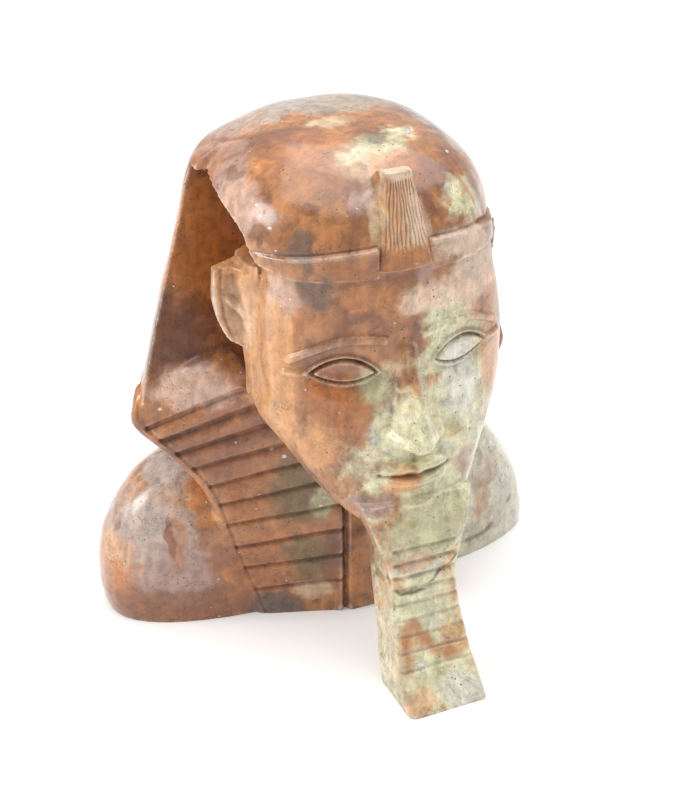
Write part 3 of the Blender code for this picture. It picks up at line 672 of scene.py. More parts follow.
def carve_mouth(p, n, sizes):
    """Calm, closed lips and a rounded chin."""
    x, y, z = np.abs(p[:, 0]), p[:, 1], p[:, 2]
    front = ramp(-n[:, 1], 0.2, 0.5) * (1.0 - ramp(y, 6.0, 10.0))
    half = 10.2
    taper = np.clip(1.0 - (x / half) ** 2, 0.0, 1.0) ** 0.6
    bow = 0.5 * bell(x - 2.6, 2.6) - 0.25 * bell(x, 1.6)
    parting = 64.8 + 0.006 * x ** 2 - 0.25 * bell(x, 2.2)
    upper = bell(z - parting - 1.7 - 0.5 * bow, 2.3) * taper
    lower = bell(z - parting + 2.0, 2.6) * np.clip(1.0 - (x / 9.0) ** 2, 0.0, 1.0) ** 0.6
    seam = bell(z - parting, 0.65) * (1.0 - ramp(x, half, half + 1.2))
    groove = bell(x, 1.6) * ramp(z, 67.5, 68.5) * (1.0 - ramp(z, 70.5, 71.5))
    corner = bell(np.hypot((x - half - 0.6) / 1.6, (z - parting) / 1.6), 1.0)
    hollow = bell(z - 58.2, 2.6) * bell(x, 9.0)
    ball = bell(np.hypot(x / 8.5, (z - 55.5) / 3.2), 1.0)
    depth = 2.6 * upper + 2.8 * lower - 1.0 * seam - 0.7 * groove - 0.6 * corner - 1.0 * hollow + 1.2 * ball
    return depth * front


def carve_ears(p, n, sizes):
    """The hollow of each ear inside its rim, with a slanting ridge across it."""
    y, z = p[:, 1], p[:, 2]
    x = np.where(p[:, 0] > 0.0, p[:, 0] / RIGHT_EAR_CLOSER, -p[:, 0]) + EAR_LEAN * (y - EAR_START)
    reach = smooth_curve(z, EAR_REACH)
    near = ramp(x, 38.2, 39.4) * (1.0 - ramp(y, 37.0, 39.0))
    near = near * ramp(-n[:, 1], 0.15, 0.4) * ramp(z, 96.0, 100.0)
    across = (x - 38.4) / (reach + 0.1)
    hollow = ramp(across, 0.1, 0.3) * (1.0 - ramp(across, 0.66, 0.82)) * (1.0 - ramp(z, 115.5, 117.0))
    rim = 0.5 * ramp(across, 0.76, 0.9) - 0.5 * bell(across - 0.70, 0.12)
    ridge = bell(z - 107.5 - 8.5 * (across - 0.45), 2.4) * bell(across - 0.42, 0.36)
    knob = bell(np.hypot(x - 40.6, (z - 114.6) * 0.7), 2.2)
    return (rim + 1.7 * ridge + 0.9 * knob - 0.9 * hollow) * near


def carve_hand(p, n, sizes):
    """The slight unevenness of a surface shaped and polished by hand."""
    return 0.16 * unsteady(p, 5.5, 0.4) + 0.07 * unsteady(p, 2.3, 5.0)


CARVINGS = (carve_band, carve_pleats, carve_rims, carve_inner_edges, carve_beard, carve_eyes, carve_nose,
            carve_mouth, carve_ears, carve_hand)


def points_of(mesh):
    """A mesh's points and normals as arrays."""
    count = len(mesh.vertices)
    points, normals = np.empty(count * 3), np.empty(count * 3)
    mesh.vertices.foreach_get("co", points)
    mesh.vertices.foreach_get("normal", normals)
    return points.reshape(-1, 3), normals.reshape(-1, 3)


def carve(item, carvings, sizes):
    """Move the points of a body along their normals by every carving."""
    points, normals = points_of(item.data)
    depth = sum(cut_in(points, normals, sizes) for cut_in in carvings)
    item.data.vertices.foreach_set("co", (points + normals * depth[:, None]).ravel())
    item.data.update()


def scratch_lines(p):
    """0 between the upright scratches of the cobra's front, 1 along them, and where they run."""
    x, z = p[:, 0], p[:, 2]
    share = np.clip((z - 150.0 + COBRA_TALL) / COBRA_TALL, 0.0, 1.0)
    across = x / (COBRA_HALF * (1.0 - 0.53 * share))
    wave, ripple = np.sin(0.35 * z + 5.0 * across), np.sin(0.9 * z + 3.0 - 11.0 * across)
    line = across * 5.6 + 0.22 * wave + 0.10 * ripple
    front = ramp(z, 129.0, 132.0) * (1.0 - ramp(z, 147.5, 149.0)) * (1.0 - ramp(np.abs(across), 0.84, 0.94))
    return bell(line - np.round(line), 0.34), front, across


def carve_scratches(p, n, sizes):
    """Wavy upright scratches of the tool on the cobra's worn front."""
    line, front, across = scratch_lines(p)
    return -(0.38 + 0.10 * unsteady(p, 2.0, 6.0)) * line * front * ramp(-n[:, 1], 0.4, 0.65)


def mark_scratches(item):
    """Store the pale ridges between the scratches, for the stone's finish."""
    points, normals = points_of(item.data)
    line, front, across = scratch_lines(points)
    pale = (1.0 - line) * front * ramp(-normals[:, 1], 0.3, 0.6) * (0.2 + 0.6 * ramp(across, -0.7, 0.5))
    # The scratch lines go into the groove layer and are darkened in the finish as dirt and painted shade.
    item.data.attributes["groove"].data.foreach_set("value", (0.45 * line * front).astype(np.float32))
    layer = item.data.attributes.new("scratch", "FLOAT", "POINT")
    layer.data.foreach_set("value", pale.astype(np.float32))


# From forms to one skin

def join(name, forms):
    """One mesh out of several forms, in an object of its own."""
    bm = bmesh.new()
    for form in forms:
        bm.from_mesh(form.data)
    bmesh.ops.recalc_face_normals(bm, faces=bm.faces)
    mesh = bpy.data.meshes.new(name)
    bm.to_mesh(mesh)
    bm.free()
    discard(*forms)
    return keep(name, mesh)


def fuse(item, cell, passes):
    """Turn the overlapping forms into one even skin."""
    remesh = item.modifiers.new("remesh", "REMESH")
    remesh.mode = "VOXEL"
    remesh.voxel_size = cell
    apply_modifiers(item)
    soften(item, passes)


def soften(item, passes):
    """Even out what the carving left ragged."""
    even = item.modifiers.new("soften", "SMOOTH")
    even.factor = 0.5
    even.iterations = passes
    apply_modifiers(item)


def thin(item, triangles):
    """Collapse edges until about the wanted number of triangles is left."""
    item.data.calc_loop_triangles()
    collapse = item.modifiers.new("thin", "DECIMATE")
    collapse.decimate_type = "COLLAPSE"
    collapse.ratio = min(1.0, triangles / len(item.data.loop_triangles))
    apply_modifiers(item)


def cut_at_ground(item):
    """Cut the underside flat."""
    plan = ((-100.0, -60.0), (100.0, -60.0), (100.0, 120.0), (-100.0, 120.0))
    ground = loft("ground", [[(x, y, z) for x, y in plan] for z in (-20.0, 0.0)])
    cut(item, ground)
    discard(ground)


def measure_wear_and_shading(item, sizes):
    """Store how far each point lies on a ridge or in a groove, for the stone's finish: ridges are lightened
    as wear and painted highlight, grooves, creases and hollows darkened as dirt and painted shade.
    """
    mesh = item.data
    points, normals = points_of(mesh)
    ends = np.empty(len(mesh.edges) * 2, int)
    mesh.edges.foreach_get("vertices", ends)
    a, b = ends.reshape(-1, 2).T
    along = points[b] - points[a]
    length = np.linalg.norm(along, axis=1) + 1e-9
    total, count = np.zeros(len(points)), np.zeros(len(points))
    slopes = ((along * normals[a]).sum(1) / length, (-along * normals[b]).sum(1) / length)
    for start, slope in zip((a, b), slopes):
        np.add.at(total, start, slope)
        np.add.at(count, start, 1.0)
    bend = -total / np.maximum(count, 1.0)
    for _ in range(3):
        mean = np.zeros(len(points))
        np.add.at(mean, a, bend[b])
        np.add.at(mean, b, bend[a])
        bend = 0.5 * bend + 0.5 * mean / np.maximum(count, 1.0)
    upper = 1.0 - 0.45 * ramp(pleat_height(points), 42.0, 52.0)
    lines = 0.75 * upper * ramp(-carve_pleats(points, normals, sizes), 0.15, 0.8)
    lines += 0.5 * ramp(-carve_rims(points, normals, sizes), 0.08, 0.3)
    lines += 0.9 * ramp(-carve_inner_edges(points, normals, sizes), 0.3, 1.2)
    x, y, z = np.abs(points[:, 0]), points[:, 1], points[:, 2]
    in_beard = ramp(-carve_beard(points, normals, sizes), 0.1, 0.36)
    lines += (0.32 + 0.2 * ramp(z, 28.0, 34.0)) * in_beard
    # The crease where each lappet top rolls under the wing, darkened later as painted shade.
    rolled = bell(z - lappet_top(x, y) - 0.6, 1.6) * ramp(y, 40.0, 42.0) * ramp(x, 33.0, 36.0) * (y < 50.0)
    # Concave bends count as grooves too: painted shade in the hollows.
    groove = np.clip(lines + 0.6 * rolled + ramp(-bend, 0.03, 0.22), 0.0, 1.0)
    for name, value in (("ridge", ramp(bend, 0.04, 0.22)), ("groove", groove)):
        layer = mesh.attributes.new(name, "FLOAT", "POINT")
        layer.data.foreach_set("value", value.astype(np.float32))


def settle(items, height):
    """Bring the pieces from parts to metres and stand them in the CAD model's place."""
    points = np.concatenate([points_of(item.data)[0] for item in items])
    low, high = points.min(axis=0), points.max(axis=0)
    share = height / (CAD_HIGH.z - CAD_LOW.z) * min(
        wide / own for wide, own in zip(CAD_HIGH - CAD_LOW, (high[0] - low[0], high[1] - low[1], high[2])))
    low, high = low * share, high * share
    middle = 0.5 * (CAD_LOW + CAD_HIGH)
    shift = Vector((middle.x - 0.5 * (low[0] + high[0]), middle.y - 0.5 * (low[1] + high[1]), CAD_LOW.z))
    for item in items:
        item.data.transform(Matrix.Translation(shift) @ Matrix.Scale(share, 4))
        item.data.shade_smooth()
    return share, shift


# Shader expressions

class Wire:
    """A shader socket that can be added, multiplied and so on like a number."""

    def __init__(self, tree, socket):
        self.tree = tree
        self.socket = socket

    def join(self, operation, first, second):
        """One Math or Vector Math node over two values."""
        ends = [v.socket.type if isinstance(v, Wire) else "VALUE" for v in (first, second)]
        many = any(kind in ("VECTOR", "RGBA") for kind in ends)
        kind = "ShaderNodeVectorMath" if many else "ShaderNodeMath"
        return self.tree.node(kind, {"operation": operation}, {0: first, 1: second})

    def __add__(self, other):
        return self.join("ADD", self, other)

    def __radd__(self, other):
        return self.join("ADD", other, self)

    def __sub__(self, other):
        return self.join("SUBTRACT", self, other)

    def __rsub__(self, other):
        return self.join("SUBTRACT", other, self)

    def __mul__(self, other):
        return self.join("MULTIPLY", self, other)

    def __rmul__(self, other):
        return self.join("MULTIPLY", other, self)

    def __abs__(self):
        return self.tree.node("ShaderNodeMath", {"operation": "ABSOLUTE"}, {0: self})


class Tree:
    """A material's nodes, added one by one."""

    def __init__(self, name):
        self.material = bpy.data.materials.new(name)
        self.material.use_nodes = True
        self.nodes = self.material.node_tree.nodes
        self.links = self.material.node_tree.links
        self.shader = self.nodes["Principled BSDF"]

    def feed(self, socket, value):
        """Link a wire to a socket, or set a number, vector or colour on it."""
        if isinstance(value, Wire):
            self.links.new(value.socket, socket)
        elif socket.type == "VECTOR" and isinstance(value, (int, float)):
            socket.default_value = (value, value, value)
        elif socket.type == "RGBA" and len(value) == 3:
            socket.default_value = (*value, 1.0)
        else:
            socket.default_value = value

    def node(self, kind, settings=None, inputs=None, output=0):
        """Any node, with its settings first and then the values or wires of its sockets."""
        made = self.nodes.new(kind)
        for name, value in (settings or {}).items():
            setattr(made, name, value)
        for place, value in (inputs or {}).items():
            self.feed(made.inputs[place], value)
        return Wire(self, made.outputs[output])

    def surface(self, **values):
        """Feed the shader's own sockets."""
        for name, value in values.items():
            self.feed(self.shader.inputs[name.replace("_", " ")], value)

    def noise(self, place, scale, detail=3.0, roughness=0.5, output=0):
        """Smooth clouds."""
        return self.node("ShaderNodeTexNoise", {}, {
            "Vector": place, "Scale": scale, "Detail": detail, "Roughness": roughness}, output)

    def grains(self, place, scale):
        """How far the nearest of many scattered grains is."""
        return self.node("ShaderNodeTexVoronoi", {"feature": "F1"}, {"Vector": place, "Scale": scale})

    def step(self, value, low, high, bottom=0.0, top=1.0):
        """A smooth step, which falls where low lies above high."""
        return self.node("ShaderNodeMapRange", {"interpolation_type": "SMOOTHSTEP"},
                         {0: value, 1: low, 2: high, 3: bottom, 4: top})

    def blend(self, factor, under, over, how="MIX"):
        """One colour laid over another."""
        return self.node("ShaderNodeMix", {"data_type": "RGBA", "blend_type": how},
                         {0: factor, 6: under, 7: over}, output=2)

    def near(self, place, centre, radii, unrest):
        """1 inside an egg-shaped region, with a ragged edge."""
        reach = (place - centre) * tuple(1.0 / r for r in radii)
        length = self.node("ShaderNodeVectorMath", {"operation": "LENGTH"}, {0: reach}, output=1)
        return self.step(length + unrest, 1.25, 0.66)

    def larger(self, first, second):
        """The larger of two values."""
        return self.node("ShaderNodeMath", {"operation": "MAXIMUM"}, {0: first, 1: second})

    def dot(self, first, second):
        """How far one vector runs along another."""
        return self.node("ShaderNodeVectorMath", {"operation": "DOT_PRODUCT"}, {0: first, 1: second},
                         output=1)

    def beside(self, place, start, end):
        """Distance from a straight run between two points."""
        start, run = Vector(start), Vector(end) - Vector(start)
        away = place - tuple(start)
        share = self.node("ShaderNodeClamp", {}, {0: self.dot(away, tuple(run / run.length_squared))})
        gap = away - self.node("ShaderNodeVectorMath", {"operation": "SCALE"}, {0: tuple(run), 3: share})
        return self.node("ShaderNodeVectorMath", {"operation": "LENGTH"}, {0: gap}, output=1)

    def grained(self, place, along, fine, coarse, detail):
        """Clouds drawn out along a direction."""
        along = Vector(along).normalized()
        across = along.orthogonal().normalized()
        third = along.cross(across)
        parts = (self.dot(place, tuple(across)) * fine, self.dot(place, tuple(third)) * fine,
                 self.dot(place, tuple(along)) * coarse)
        bundle = self.node("ShaderNodeCombineXYZ", {}, dict(enumerate(parts)))
        return self.noise(bundle, 1.0, detail, 0.6)


# The stone

TONES = {
    "deep": (0.150, 0.050, 0.020),
    "brown": (0.265, 0.098, 0.042),
    "rust": (0.43, 0.145, 0.035),
    "ember": (0.52, 0.195, 0.058),
    "apricot": (0.68, 0.33, 0.130),
    "sand": (0.66, 0.47, 0.29),
    "rose": (0.66, 0.45, 0.35),
    "blush": (0.80, 0.60, 0.44),
    "mauve": (0.42, 0.27, 0.225),
    "haze": (0.55, 0.47, 0.42),
    "cream": (0.75, 0.70, 0.46),
    "moss": (0.52, 0.48, 0.27),
    "olive": (0.21, 0.125, 0.040),
    "ash": (0.50, 0.48, 0.40),
    "smoke": (0.14, 0.100, 0.075),
    "ink": (0.055, 0.045, 0.038),
    "chalk": (0.74, 0.72, 0.62),
}

# The pale green side of the block: centre and radii of the regions that hold it
PALE_REGIONS = (
    ((8.0, -6.0, 70.0), (26.0, 22.0, 27.0)),
    ((18.0, -2.0, 92.0), (17.0, 14.0, 13.0)),
    ((0.0, -16.0, 20.0), (19.0, 24.0, 40.0)),
    ((52.0, 44.0, 16.0), (28.0, 34.0, 46.0)),
    ((0.0, 25.0, 150.0), (11.0, 5.0, 7.0)),
    ((22.0, 12.0, 137.0), (10.0, 8.0, 6.0)),
    ((12.0, 32.0, 150.0), (7.0, 6.0, 7.0)),
    ((12.0, 3.0, 107.0), (8.0, 9.0, 7.0)),
)

# Clouds of colour, each a tone, a centre, radii and a strength, in parts; a few paint light or shade, as
# marked
STONE_CLOUDS = (
    ("ash", (54.0, 42.0, 16.0), (24.0, 24.0, 34.0), 0.65),
    # A grey cloud along the cap's top edge: partly the stone's grey, partly painted reflection of the white
    # surround.
    ("ash", (6.0, 62.0, 149.0), (22.0, 13.0, 6.0), 0.55),
    ("sand", (-4.0, 23.0, 147.0), (9.0, 7.0, 7.0), 0.5),
    ("ember", (4.0, 21.0, 147.0), (7.0, 5.0, 5.0), 0.65),
    ("moss", (5.0, 29.0, 149.0), (9.0, 5.0, 5.0), 0.75),
    ("smoke", (4.0, 31.0, 150.0), (3.5, 3.5, 4.0), 0.7),
    ("apricot", (1.0, 3.0, 139.0), (9.0, 6.0, 12.0), 0.75),
    ("sand", (-7.0, 9.0, 140.0), (2.6, 8.0, 11.0), 0.85),
    ("blush", (0.0, 9.0, 150.0), (6.0, 5.0, 2.8), 0.9),
    ("blush", (5.0, 4.0, 138.0), (3.5, 5.0, 10.0), 0.7),
    ("ember", (0.0, 1.0, 126.5), (8.0, 4.0, 4.0), 0.85),
    ("chalk", (17.0, 0.0, 89.0), (7.0, 9.0, 12.0), 0.9),
    ("moss", (-11.0, 1.0, 91.0), (6.0, 8.0, 5.0), 0.85),
    ("moss", (2.0, -9.0, 50.0), (14.0, 9.0, 8.0), 0.8),
    ("rust", (-22.0, 5.0, 90.0), (7.0, 9.0, 11.0), 0.9),
    ("brown", (-18.0, 2.0, 97.0), (8.0, 8.0, 3.5), 0.5),
    ("apricot", (-35.0, 17.0, 90.0), (7.0, 15.0, 36.0), 0.85),
    ("apricot", (-39.0, 32.0, 106.0), (10.0, 9.0, 20.0), 0.9),
    ("blush", (-39.0, 31.0, 104.0), (7.0, 6.0, 13.0), 0.5),
    ("apricot", (-3.0, -7.0, 64.0), (4.5, 6.0, 5.0), 0.9),
    ("rust", (-16.0, 0.0, 83.0), (4.5, 8.0, 8.0), 0.85),
    ("apricot", (-25.0, 5.0, 73.0), (6.0, 9.0, 8.0), 0.8),
    ("mauve", (-14.0, -6.0, 58.0), (9.0, 6.0, 2.6), 0.9),
    ("mauve", (17.0, -3.0, 63.0), (4.0, 6.0, 5.0), 0.8),
    ("ember", (-12.0, 3.0, 117.0), (9.0, 8.0, 5.0), 0.9),
    ("rust", (-16.0, 3.0, 126.0), (8.0, 6.0, 3.0), 0.7),
    ("blush", (6.0, 3.0, 114.5), (7.0, 7.0, 5.0), 0.8),
    ("mauve", (5.0, 3.0, 121.0), (3.0, 7.0, 3.0), 0.8),
    ("blush", (21.0, 6.0, 115.0), (11.0, 9.0, 8.0), 0.7),
    ("blush", (20.0, 5.0, 127.0), (13.0, 8.0, 5.0), 0.7),
    ("smoke", (-24.0, 6.0, 119.0), (4.5, 7.0, 5.5), 0.75),
    ("smoke", (-26.0, 11.0, 129.0), (2.4, 6.0, 6.5), 0.7),
    ("rose", (-31.0, 13.0, 117.0), (4.0, 8.0, 6.0), 0.7),
    ("apricot", (-34.0, 15.0, 112.0), (4.0, 9.0, 4.0), 0.8),
    ("apricot", (31.0, 10.0, 85.0), (6.0, 12.0, 10.0), 0.8),
    ("moss", (22.0, 6.0, 101.0), (6.0, 7.0, 3.0), 0.6),
    ("apricot", (28.0, 9.0, 96.0), (5.0, 8.0, 7.0), 0.6),
    # A grey cloud on the cap's top back edge: partly the stone's grey, partly painted reflection of the white
    # surround.
    ("haze", (-16.0, 68.0, 146.0), (22.0, 14.0, 8.0), 0.5),
    ("mauve", (-32.0, 50.0, 142.0), (10.0, 14.0, 8.0), 0.6),
    ("rose", (-36.0, 33.0, 136.0), (5.0, 12.0, 9.0), 0.65),
    ("rust", (-17.0, 32.0, 146.0), (10.0, 12.0, 6.0), 0.6),
    ("sand", (-5.0, 45.0, 150.0), (7.0, 4.0, 5.0), 0.9),
    ("ember", (8.0, 44.0, 150.0), (8.0, 6.0, 5.0), 0.6),
    ("haze", (29.0, 46.0, 143.0), (9.0, 18.0, 9.0), 0.7),
    ("haze", (28.0, 17.0, 137.0), (5.0, 8.0, 6.0), 0.6),
    ("mauve", (-9.0, 11.0, 141.0), (4.0, 6.0, 5.0), 0.7),
    ("deep", (-33.0, 41.0, 142.0), (2.5, 5.0, 2.0), 0.5),
    ("deep", (-22.0, 15.0, 141.0), (2.8, 3.0, 1.6), 0.6),
    ("deep", (-26.0, 20.0, 138.0), (1.6, 3.0, 2.0), 0.4),
    ("rust", (-44.0, 54.0, 114.0), (22.0, 10.0, 34.0), 0.6),
    # Dark on the left wing's front panel: partly the stone's brown, partly painted shade of a panel facing
    # forward under the crown.
    ("deep", (-54.0, 50.0, 92.0), (18.0, 7.5, 14.0), 0.9),
    ("rust", (-36.0, 50.0, 122.0), (5.0, 12.0, 16.0), 0.6),
    # Pale on the up-facing roll of the left lappet top: partly its own tone, partly painted light from above.
    ("rose", (-50.0, 37.0, 79.5), (17.0, 9.0, 7.0), 0.8),
    ("brown", (-46.0, 37.0, 60.0), (14.0, 12.0, 10.0), 0.7),
    ("rust", (-35.0, 33.0, 44.0), (10.0, 10.0, 12.0), 0.7),
    ("rust", (-32.0, 32.0, 18.0), (9.0, 9.0, 12.0), 0.7),
    ("olive", (-20.0, 29.0, 43.0), (9.0, 9.0, 13.0), 0.95),
    ("moss", (-14.0, 27.0, 40.0), (4.0, 7.0, 5.0), 0.8),
    ("olive", (-19.0, 28.0, 21.0), (8.0, 7.0, 8.0), 0.9),
    ("sand", (-17.0, 27.0, 8.0), (6.0, 6.0, 2.5), 0.8),
    ("deep", (-11.0, 26.0, 20.0), (3.5, 5.0, 10.0), 0.7),
    ("smoke", (-29.0, 31.0, 2.5), (10.0, 8.0, 4.5), 0.9),
    ("haze", (-62.0, 44.0, 31.0), (14.0, 16.0, 13.0), 0.75),
    ("mauve", (-56.0, 41.0, 17.0), (12.0, 14.0, 12.0), 0.9),
    ("haze", (-54.0, 54.0, 46.0), (8.0, 9.0, 5.0), 0.7),
    ("rust", (-56.0, 39.0, 28.0), (3.0, 7.0, 12.0), 0.6),
    ("brown", (-57.5, 39.0, 30.0), (1.2, 6.0, 8.0), 0.8),
    ("brown", (-62.0, 44.0, 45.0), (5.0, 8.0, 3.0), 0.5),
    ("brown", (-62.0, 40.0, 5.0), (28.0, 20.0, 7.5), 0.85),
    ("apricot", (-70.0, 50.0, 24.0), (4.0, 8.0, 6.0), 0.6),
    ("ember", (8.0, -14.0, 28.0), (4.5, 5.0, 2.8), 0.85),
    ("apricot", (8.0, -17.5, 17.0), (5.5, 6.0, 9.0), 0.7),
    ("apricot", (-5.0, -18.0, 18.0), (5.0, 5.0, 3.0), 0.6),
    ("moss", (1.0, -24.0, 8.0), (3.5, 5.0, 6.0), 0.6),
    ("apricot", (-3.0, -12.0, 40.0), (8.0, 5.0, 2.5), 0.6),
    ("ember", (-11.0, -9.0, 40.0), (2.0, 5.0, 5.0), 0.7),
    ("apricot", (-8.0, -28.0, 4.0), (5.0, 4.0, 4.0), 0.65),
    ("chalk", (6.0, -28.0, 3.0), (8.0, 7.0, 5.0), 0.75),
    ("cream", (0.0, -15.0, 26.0), (9.0, 6.0, 9.0), 0.7),
    ("sand", (-13.0, -14.0, 22.0), (3.0, 12.0, 18.0), 0.55),
    ("ember", (44.0, 37.0, 18.0), (3.0, 6.0, 7.0), 0.5),
    ("mauve", (46.0, 38.0, 26.0), (6.0, 8.0, 4.0), 0.6),
)

# Drawn veins, each a tone, a half width, a strength and points from end to end
STONE_VEINS = (
    ("ink", 0.5, 0.8, ((-13.0, 2.0, 42.0), (-11.0, -8.0, 36.0), (-8.0, -13.5, 30.5), (0.0, -13.5, 31.0),
                       (4.0, -13.5, 35.0), (10.0, -12.5, 39.0))),
    ("rust", 1.7, 0.75, ((-9.0, -21.0, 10.0), (-8.0, -17.0, 20.0), (-5.0, -16.5, 21.5), (0.0, -20.0, 14.0),
                         (4.0, -21.0, 12.5))),
    ("ink", 0.7, 0.7, ((57.0, 42.0, 14.0), (50.0, 39.0, 9.5), (45.0, 37.0, 6.0), (38.0, 35.0, 6.0))),
    ("brown", 1.0, 0.8, ((-30.0, 60.0, 144.0), (-24.0, 50.0, 147.5), (-20.0, 44.0, 149.0),
                         (-17.0, 36.0, 149.0))),
    ("brown", 0.9, 0.7, ((-33.0, 50.0, 142.0), (-28.0, 46.0, 145.0), (-25.0, 36.0, 147.0),
                         (-21.0, 30.0, 148.0))),
    ("brown", 1.3, 0.6, ((26.0, 43.0, 146.0), (24.0, 27.0, 145.0), (26.0, 17.0, 139.0),
                         (29.0, 13.0, 130.0))),
    ("ember", 0.9, 0.7, ((12.0, 30.0, 149.0), (18.0, 20.0, 145.0), (23.0, 13.0, 139.0),
                         (26.0, 10.0, 134.0))),
)

# White chips where the skin of the stone is knocked off
STONE_CHIPS = (
    (-58.0, 42.0, 73.0), (-28.0, 32.0, 58.0), (-25.0, 30.0, 56.0), (-14.0, 27.0, 41.0), (-15.0, 27.0, 38.0),
    (16.0, 34.0, 149.0), (-33.0, 26.0, 139.0), (-32.0, 19.0, 135.0), (-33.0, 23.0, 137.0),
    (22.0, 24.0, 145.5), (3.0, -14.0, 33.0), (-5.0, -22.0, 9.0),
)


def marble(tree, field, base, layers):
    """Tones one over another as a field rises."""
    colour = base
    for low, high, tone in layers:
        colour = tree.blend(tree.step(field, low, high), colour, tone)
    return colour


def stone_pattern(tree, place, look):
    """The colour of the block before it was carved, and its specks and mottling; a few clouds paint light and
    shade on the carved form.
    """
    drift = tree.noise(place, 0.05, 2.0, output=1) - (0.5, 0.5, 0.5)
    swirl = tree.noise(place, 0.15, 2.0, 0.5, output=1) - (0.5, 0.5, 0.5)
    bent = place + drift * 13.0 + swirl * 7.0
    ragged = (tree.noise(place + swirl * 8.0, 0.17, 4.0, 0.6) - 0.5) * 1.3

    warm = marble(tree, tree.noise(bent, 0.075, 4.0, 0.55), TONES["brown"], (
        (0.38, 0.46, tuple(look.shade)), (0.45, 0.54, tuple(look.body)), (0.55, 0.66, TONES["ember"]),
        (0.64, 0.76, TONES["apricot"])))
    pale = marble(tree, tree.noise(bent + (40.0, 0.0, 0.0), 0.085, 4.0, 0.55), TONES["moss"], (
        (0.30, 0.44, tuple(look.cream)), (0.56, 0.64, TONES["ash"]), (0.60, 0.68, TONES["chalk"])))
    stain = tree.noise(bent + (0.0, 70.0, 0.0), 0.09, 4.0, 0.55)
    pale = tree.blend(tree.step(stain, 0.56, 0.64) * 0.7, pale, TONES["apricot"])
    pale = tree.blend(tree.step(stain, 0.44, 0.36) * 0.7, pale, TONES["moss"])
    side = 0.0
    for centre, radii in PALE_REGIONS:
        side = tree.larger(side, tree.near(place + drift * 8.0 + swirl * 7.0, centre, radii, ragged))
    colour = tree.blend(side, warm, pale)

    steady = place + drift * 4.0 + swirl * 7.0
    for tone, centre, radii, strength in STONE_CLOUDS:
        colour = tree.blend(tree.near(steady, centre, radii, ragged) * strength, colour, TONES[tone])

    brushed = tree.grained(place + swirl * 3.0, (0.1, 0.1, 1.0), 0.50, 0.06, 4.0)
    colour = tree.blend(tree.step(brushed, 0.38, 0.62), colour * 0.88, colour * 1.06)
    mottle = tree.noise(place + swirl * 2.0, 0.30, 5.0, 0.6)
    colour = tree.blend(tree.step(mottle, 0.32, 0.68), colour * 0.78, colour * 1.14)
    fine = tree.noise(place, 2.4, 3.0, 0.6)
    colour = colour * tree.step(fine, 0.28, 0.72, 0.90, 1.07)

    wobble = place + swirl * 2.6
    for tone, half, strength, points in STONE_VEINS:
        line = 0.0
        for start, end in zip(points, points[1:]):
            gap = tree.beside(wobble, start, end) + ragged * half * 1.3
            line = tree.larger(line, tree.step(gap, half * 1.9, half * 0.2))
        fade = tree.step(mottle, 0.25, 0.5, 0.6, 1.0) * (strength * look.veins)
        colour = tree.blend(line * fade, colour, TONES[tone])

    streaks = tree.grained(place + swirl * 9.0, (0.55, -0.7, -0.45), 0.16, 0.05, 4.0)
    hair = tree.step(abs(streaks - 0.5), 0.012, 0.003) * tree.step(tree.noise(place, 0.12, 2.0), 0.48, 0.58)
    colour = tree.blend(hair * (0.55 * look.veins), colour, colour * 0.35)

    cells = tree.grains(place + swirl * 1.2, 0.5)
    speck = tree.step(cells, 0.19, 0.08) * tree.step(tree.noise(place, 0.13, 3.0), 0.50, 0.58)
    colour = tree.blend(speck * (0.8 * look.veins), colour, TONES["ink"])
    dots = tree.grains(place + (9.0, 5.0, 2.0), 0.30)
    fleck = tree.step(dots, 0.10, 0.06) * tree.step(tree.noise(place, 0.10, 2.0), 0.55, 0.60)
    for centre in STONE_CHIPS:
        fleck = tree.larger(fleck, tree.near(place + swirl * 1.5, centre, (0.7, 0.7, 0.45), ragged))
    colour = tree.blend(fleck * 0.8, colour, (0.80, 0.74, 0.66))
    return colour, mottle, fine, tree.larger(speck, fleck)


def finish_stone(tree, place, look, share, colour, mottle, fine, pits):
    """Worn ridges with painted highlight, dirt and painted shade in the grooves, and the polish."""
    ridge = tree.node("ShaderNodeAttribute", {"attribute_name": "ridge"}, output=2)
    groove = tree.node("ShaderNodeAttribute", {"attribute_name": "groove"}, output=2)
    scratch = tree.node("ShaderNodeAttribute", {"attribute_name": "scratch"}, output=2)
    # Grooves, creases and hollows darkened: partly dirt, partly painted shade.
    dirt_and_shade = groove * tree.step(mottle, 0.30, 0.62, 1.0, 0.6)
    colour = tree.blend(dirt_and_shade, colour, colour * (0.30, 0.24, 0.22))
    # Ridges lightened: partly wear, partly painted highlight along the edges.
    colour = tree.blend(ridge * tree.step(mottle, 0.3, 0.6, 0.25, 0.6), colour, (0.86, 0.76, 0.66))
    colour = tree.blend(scratch * 0.75, colour, (0.84, 0.60, 0.42))
    roughness = look.polish + (mottle - 0.5) * 0.25 + groove * 0.25 + pits * 0.2
    relief = fine * 0.03 - pits * 0.25 + mottle * 0.08
    normal = tree.node("ShaderNodeBump", {}, {"Strength": 0.4, "Distance": share, "Height": relief})
    tree.surface(Base_Color=colour, Roughness=roughness, Normal=normal)
    tree.surface(Coat_Weight=0.5, Coat_Roughness=0.16, IOR=1.5, Sheen_Weight=0.3, Sheen_Roughness=0.35)


def veined_stone(look, share, shift):
    """Polished soft stone: clouds of colour, streaks, veins, specks and pits."""
    tree = Tree("veined_stone")
    here = tree.node("ShaderNodeTexCoord", output=3)
    place = (here - tuple(shift)) * (1.0 / share)
    finish_stone(tree, place, look, share, *stone_pattern(tree, place, look))
    return tree.material


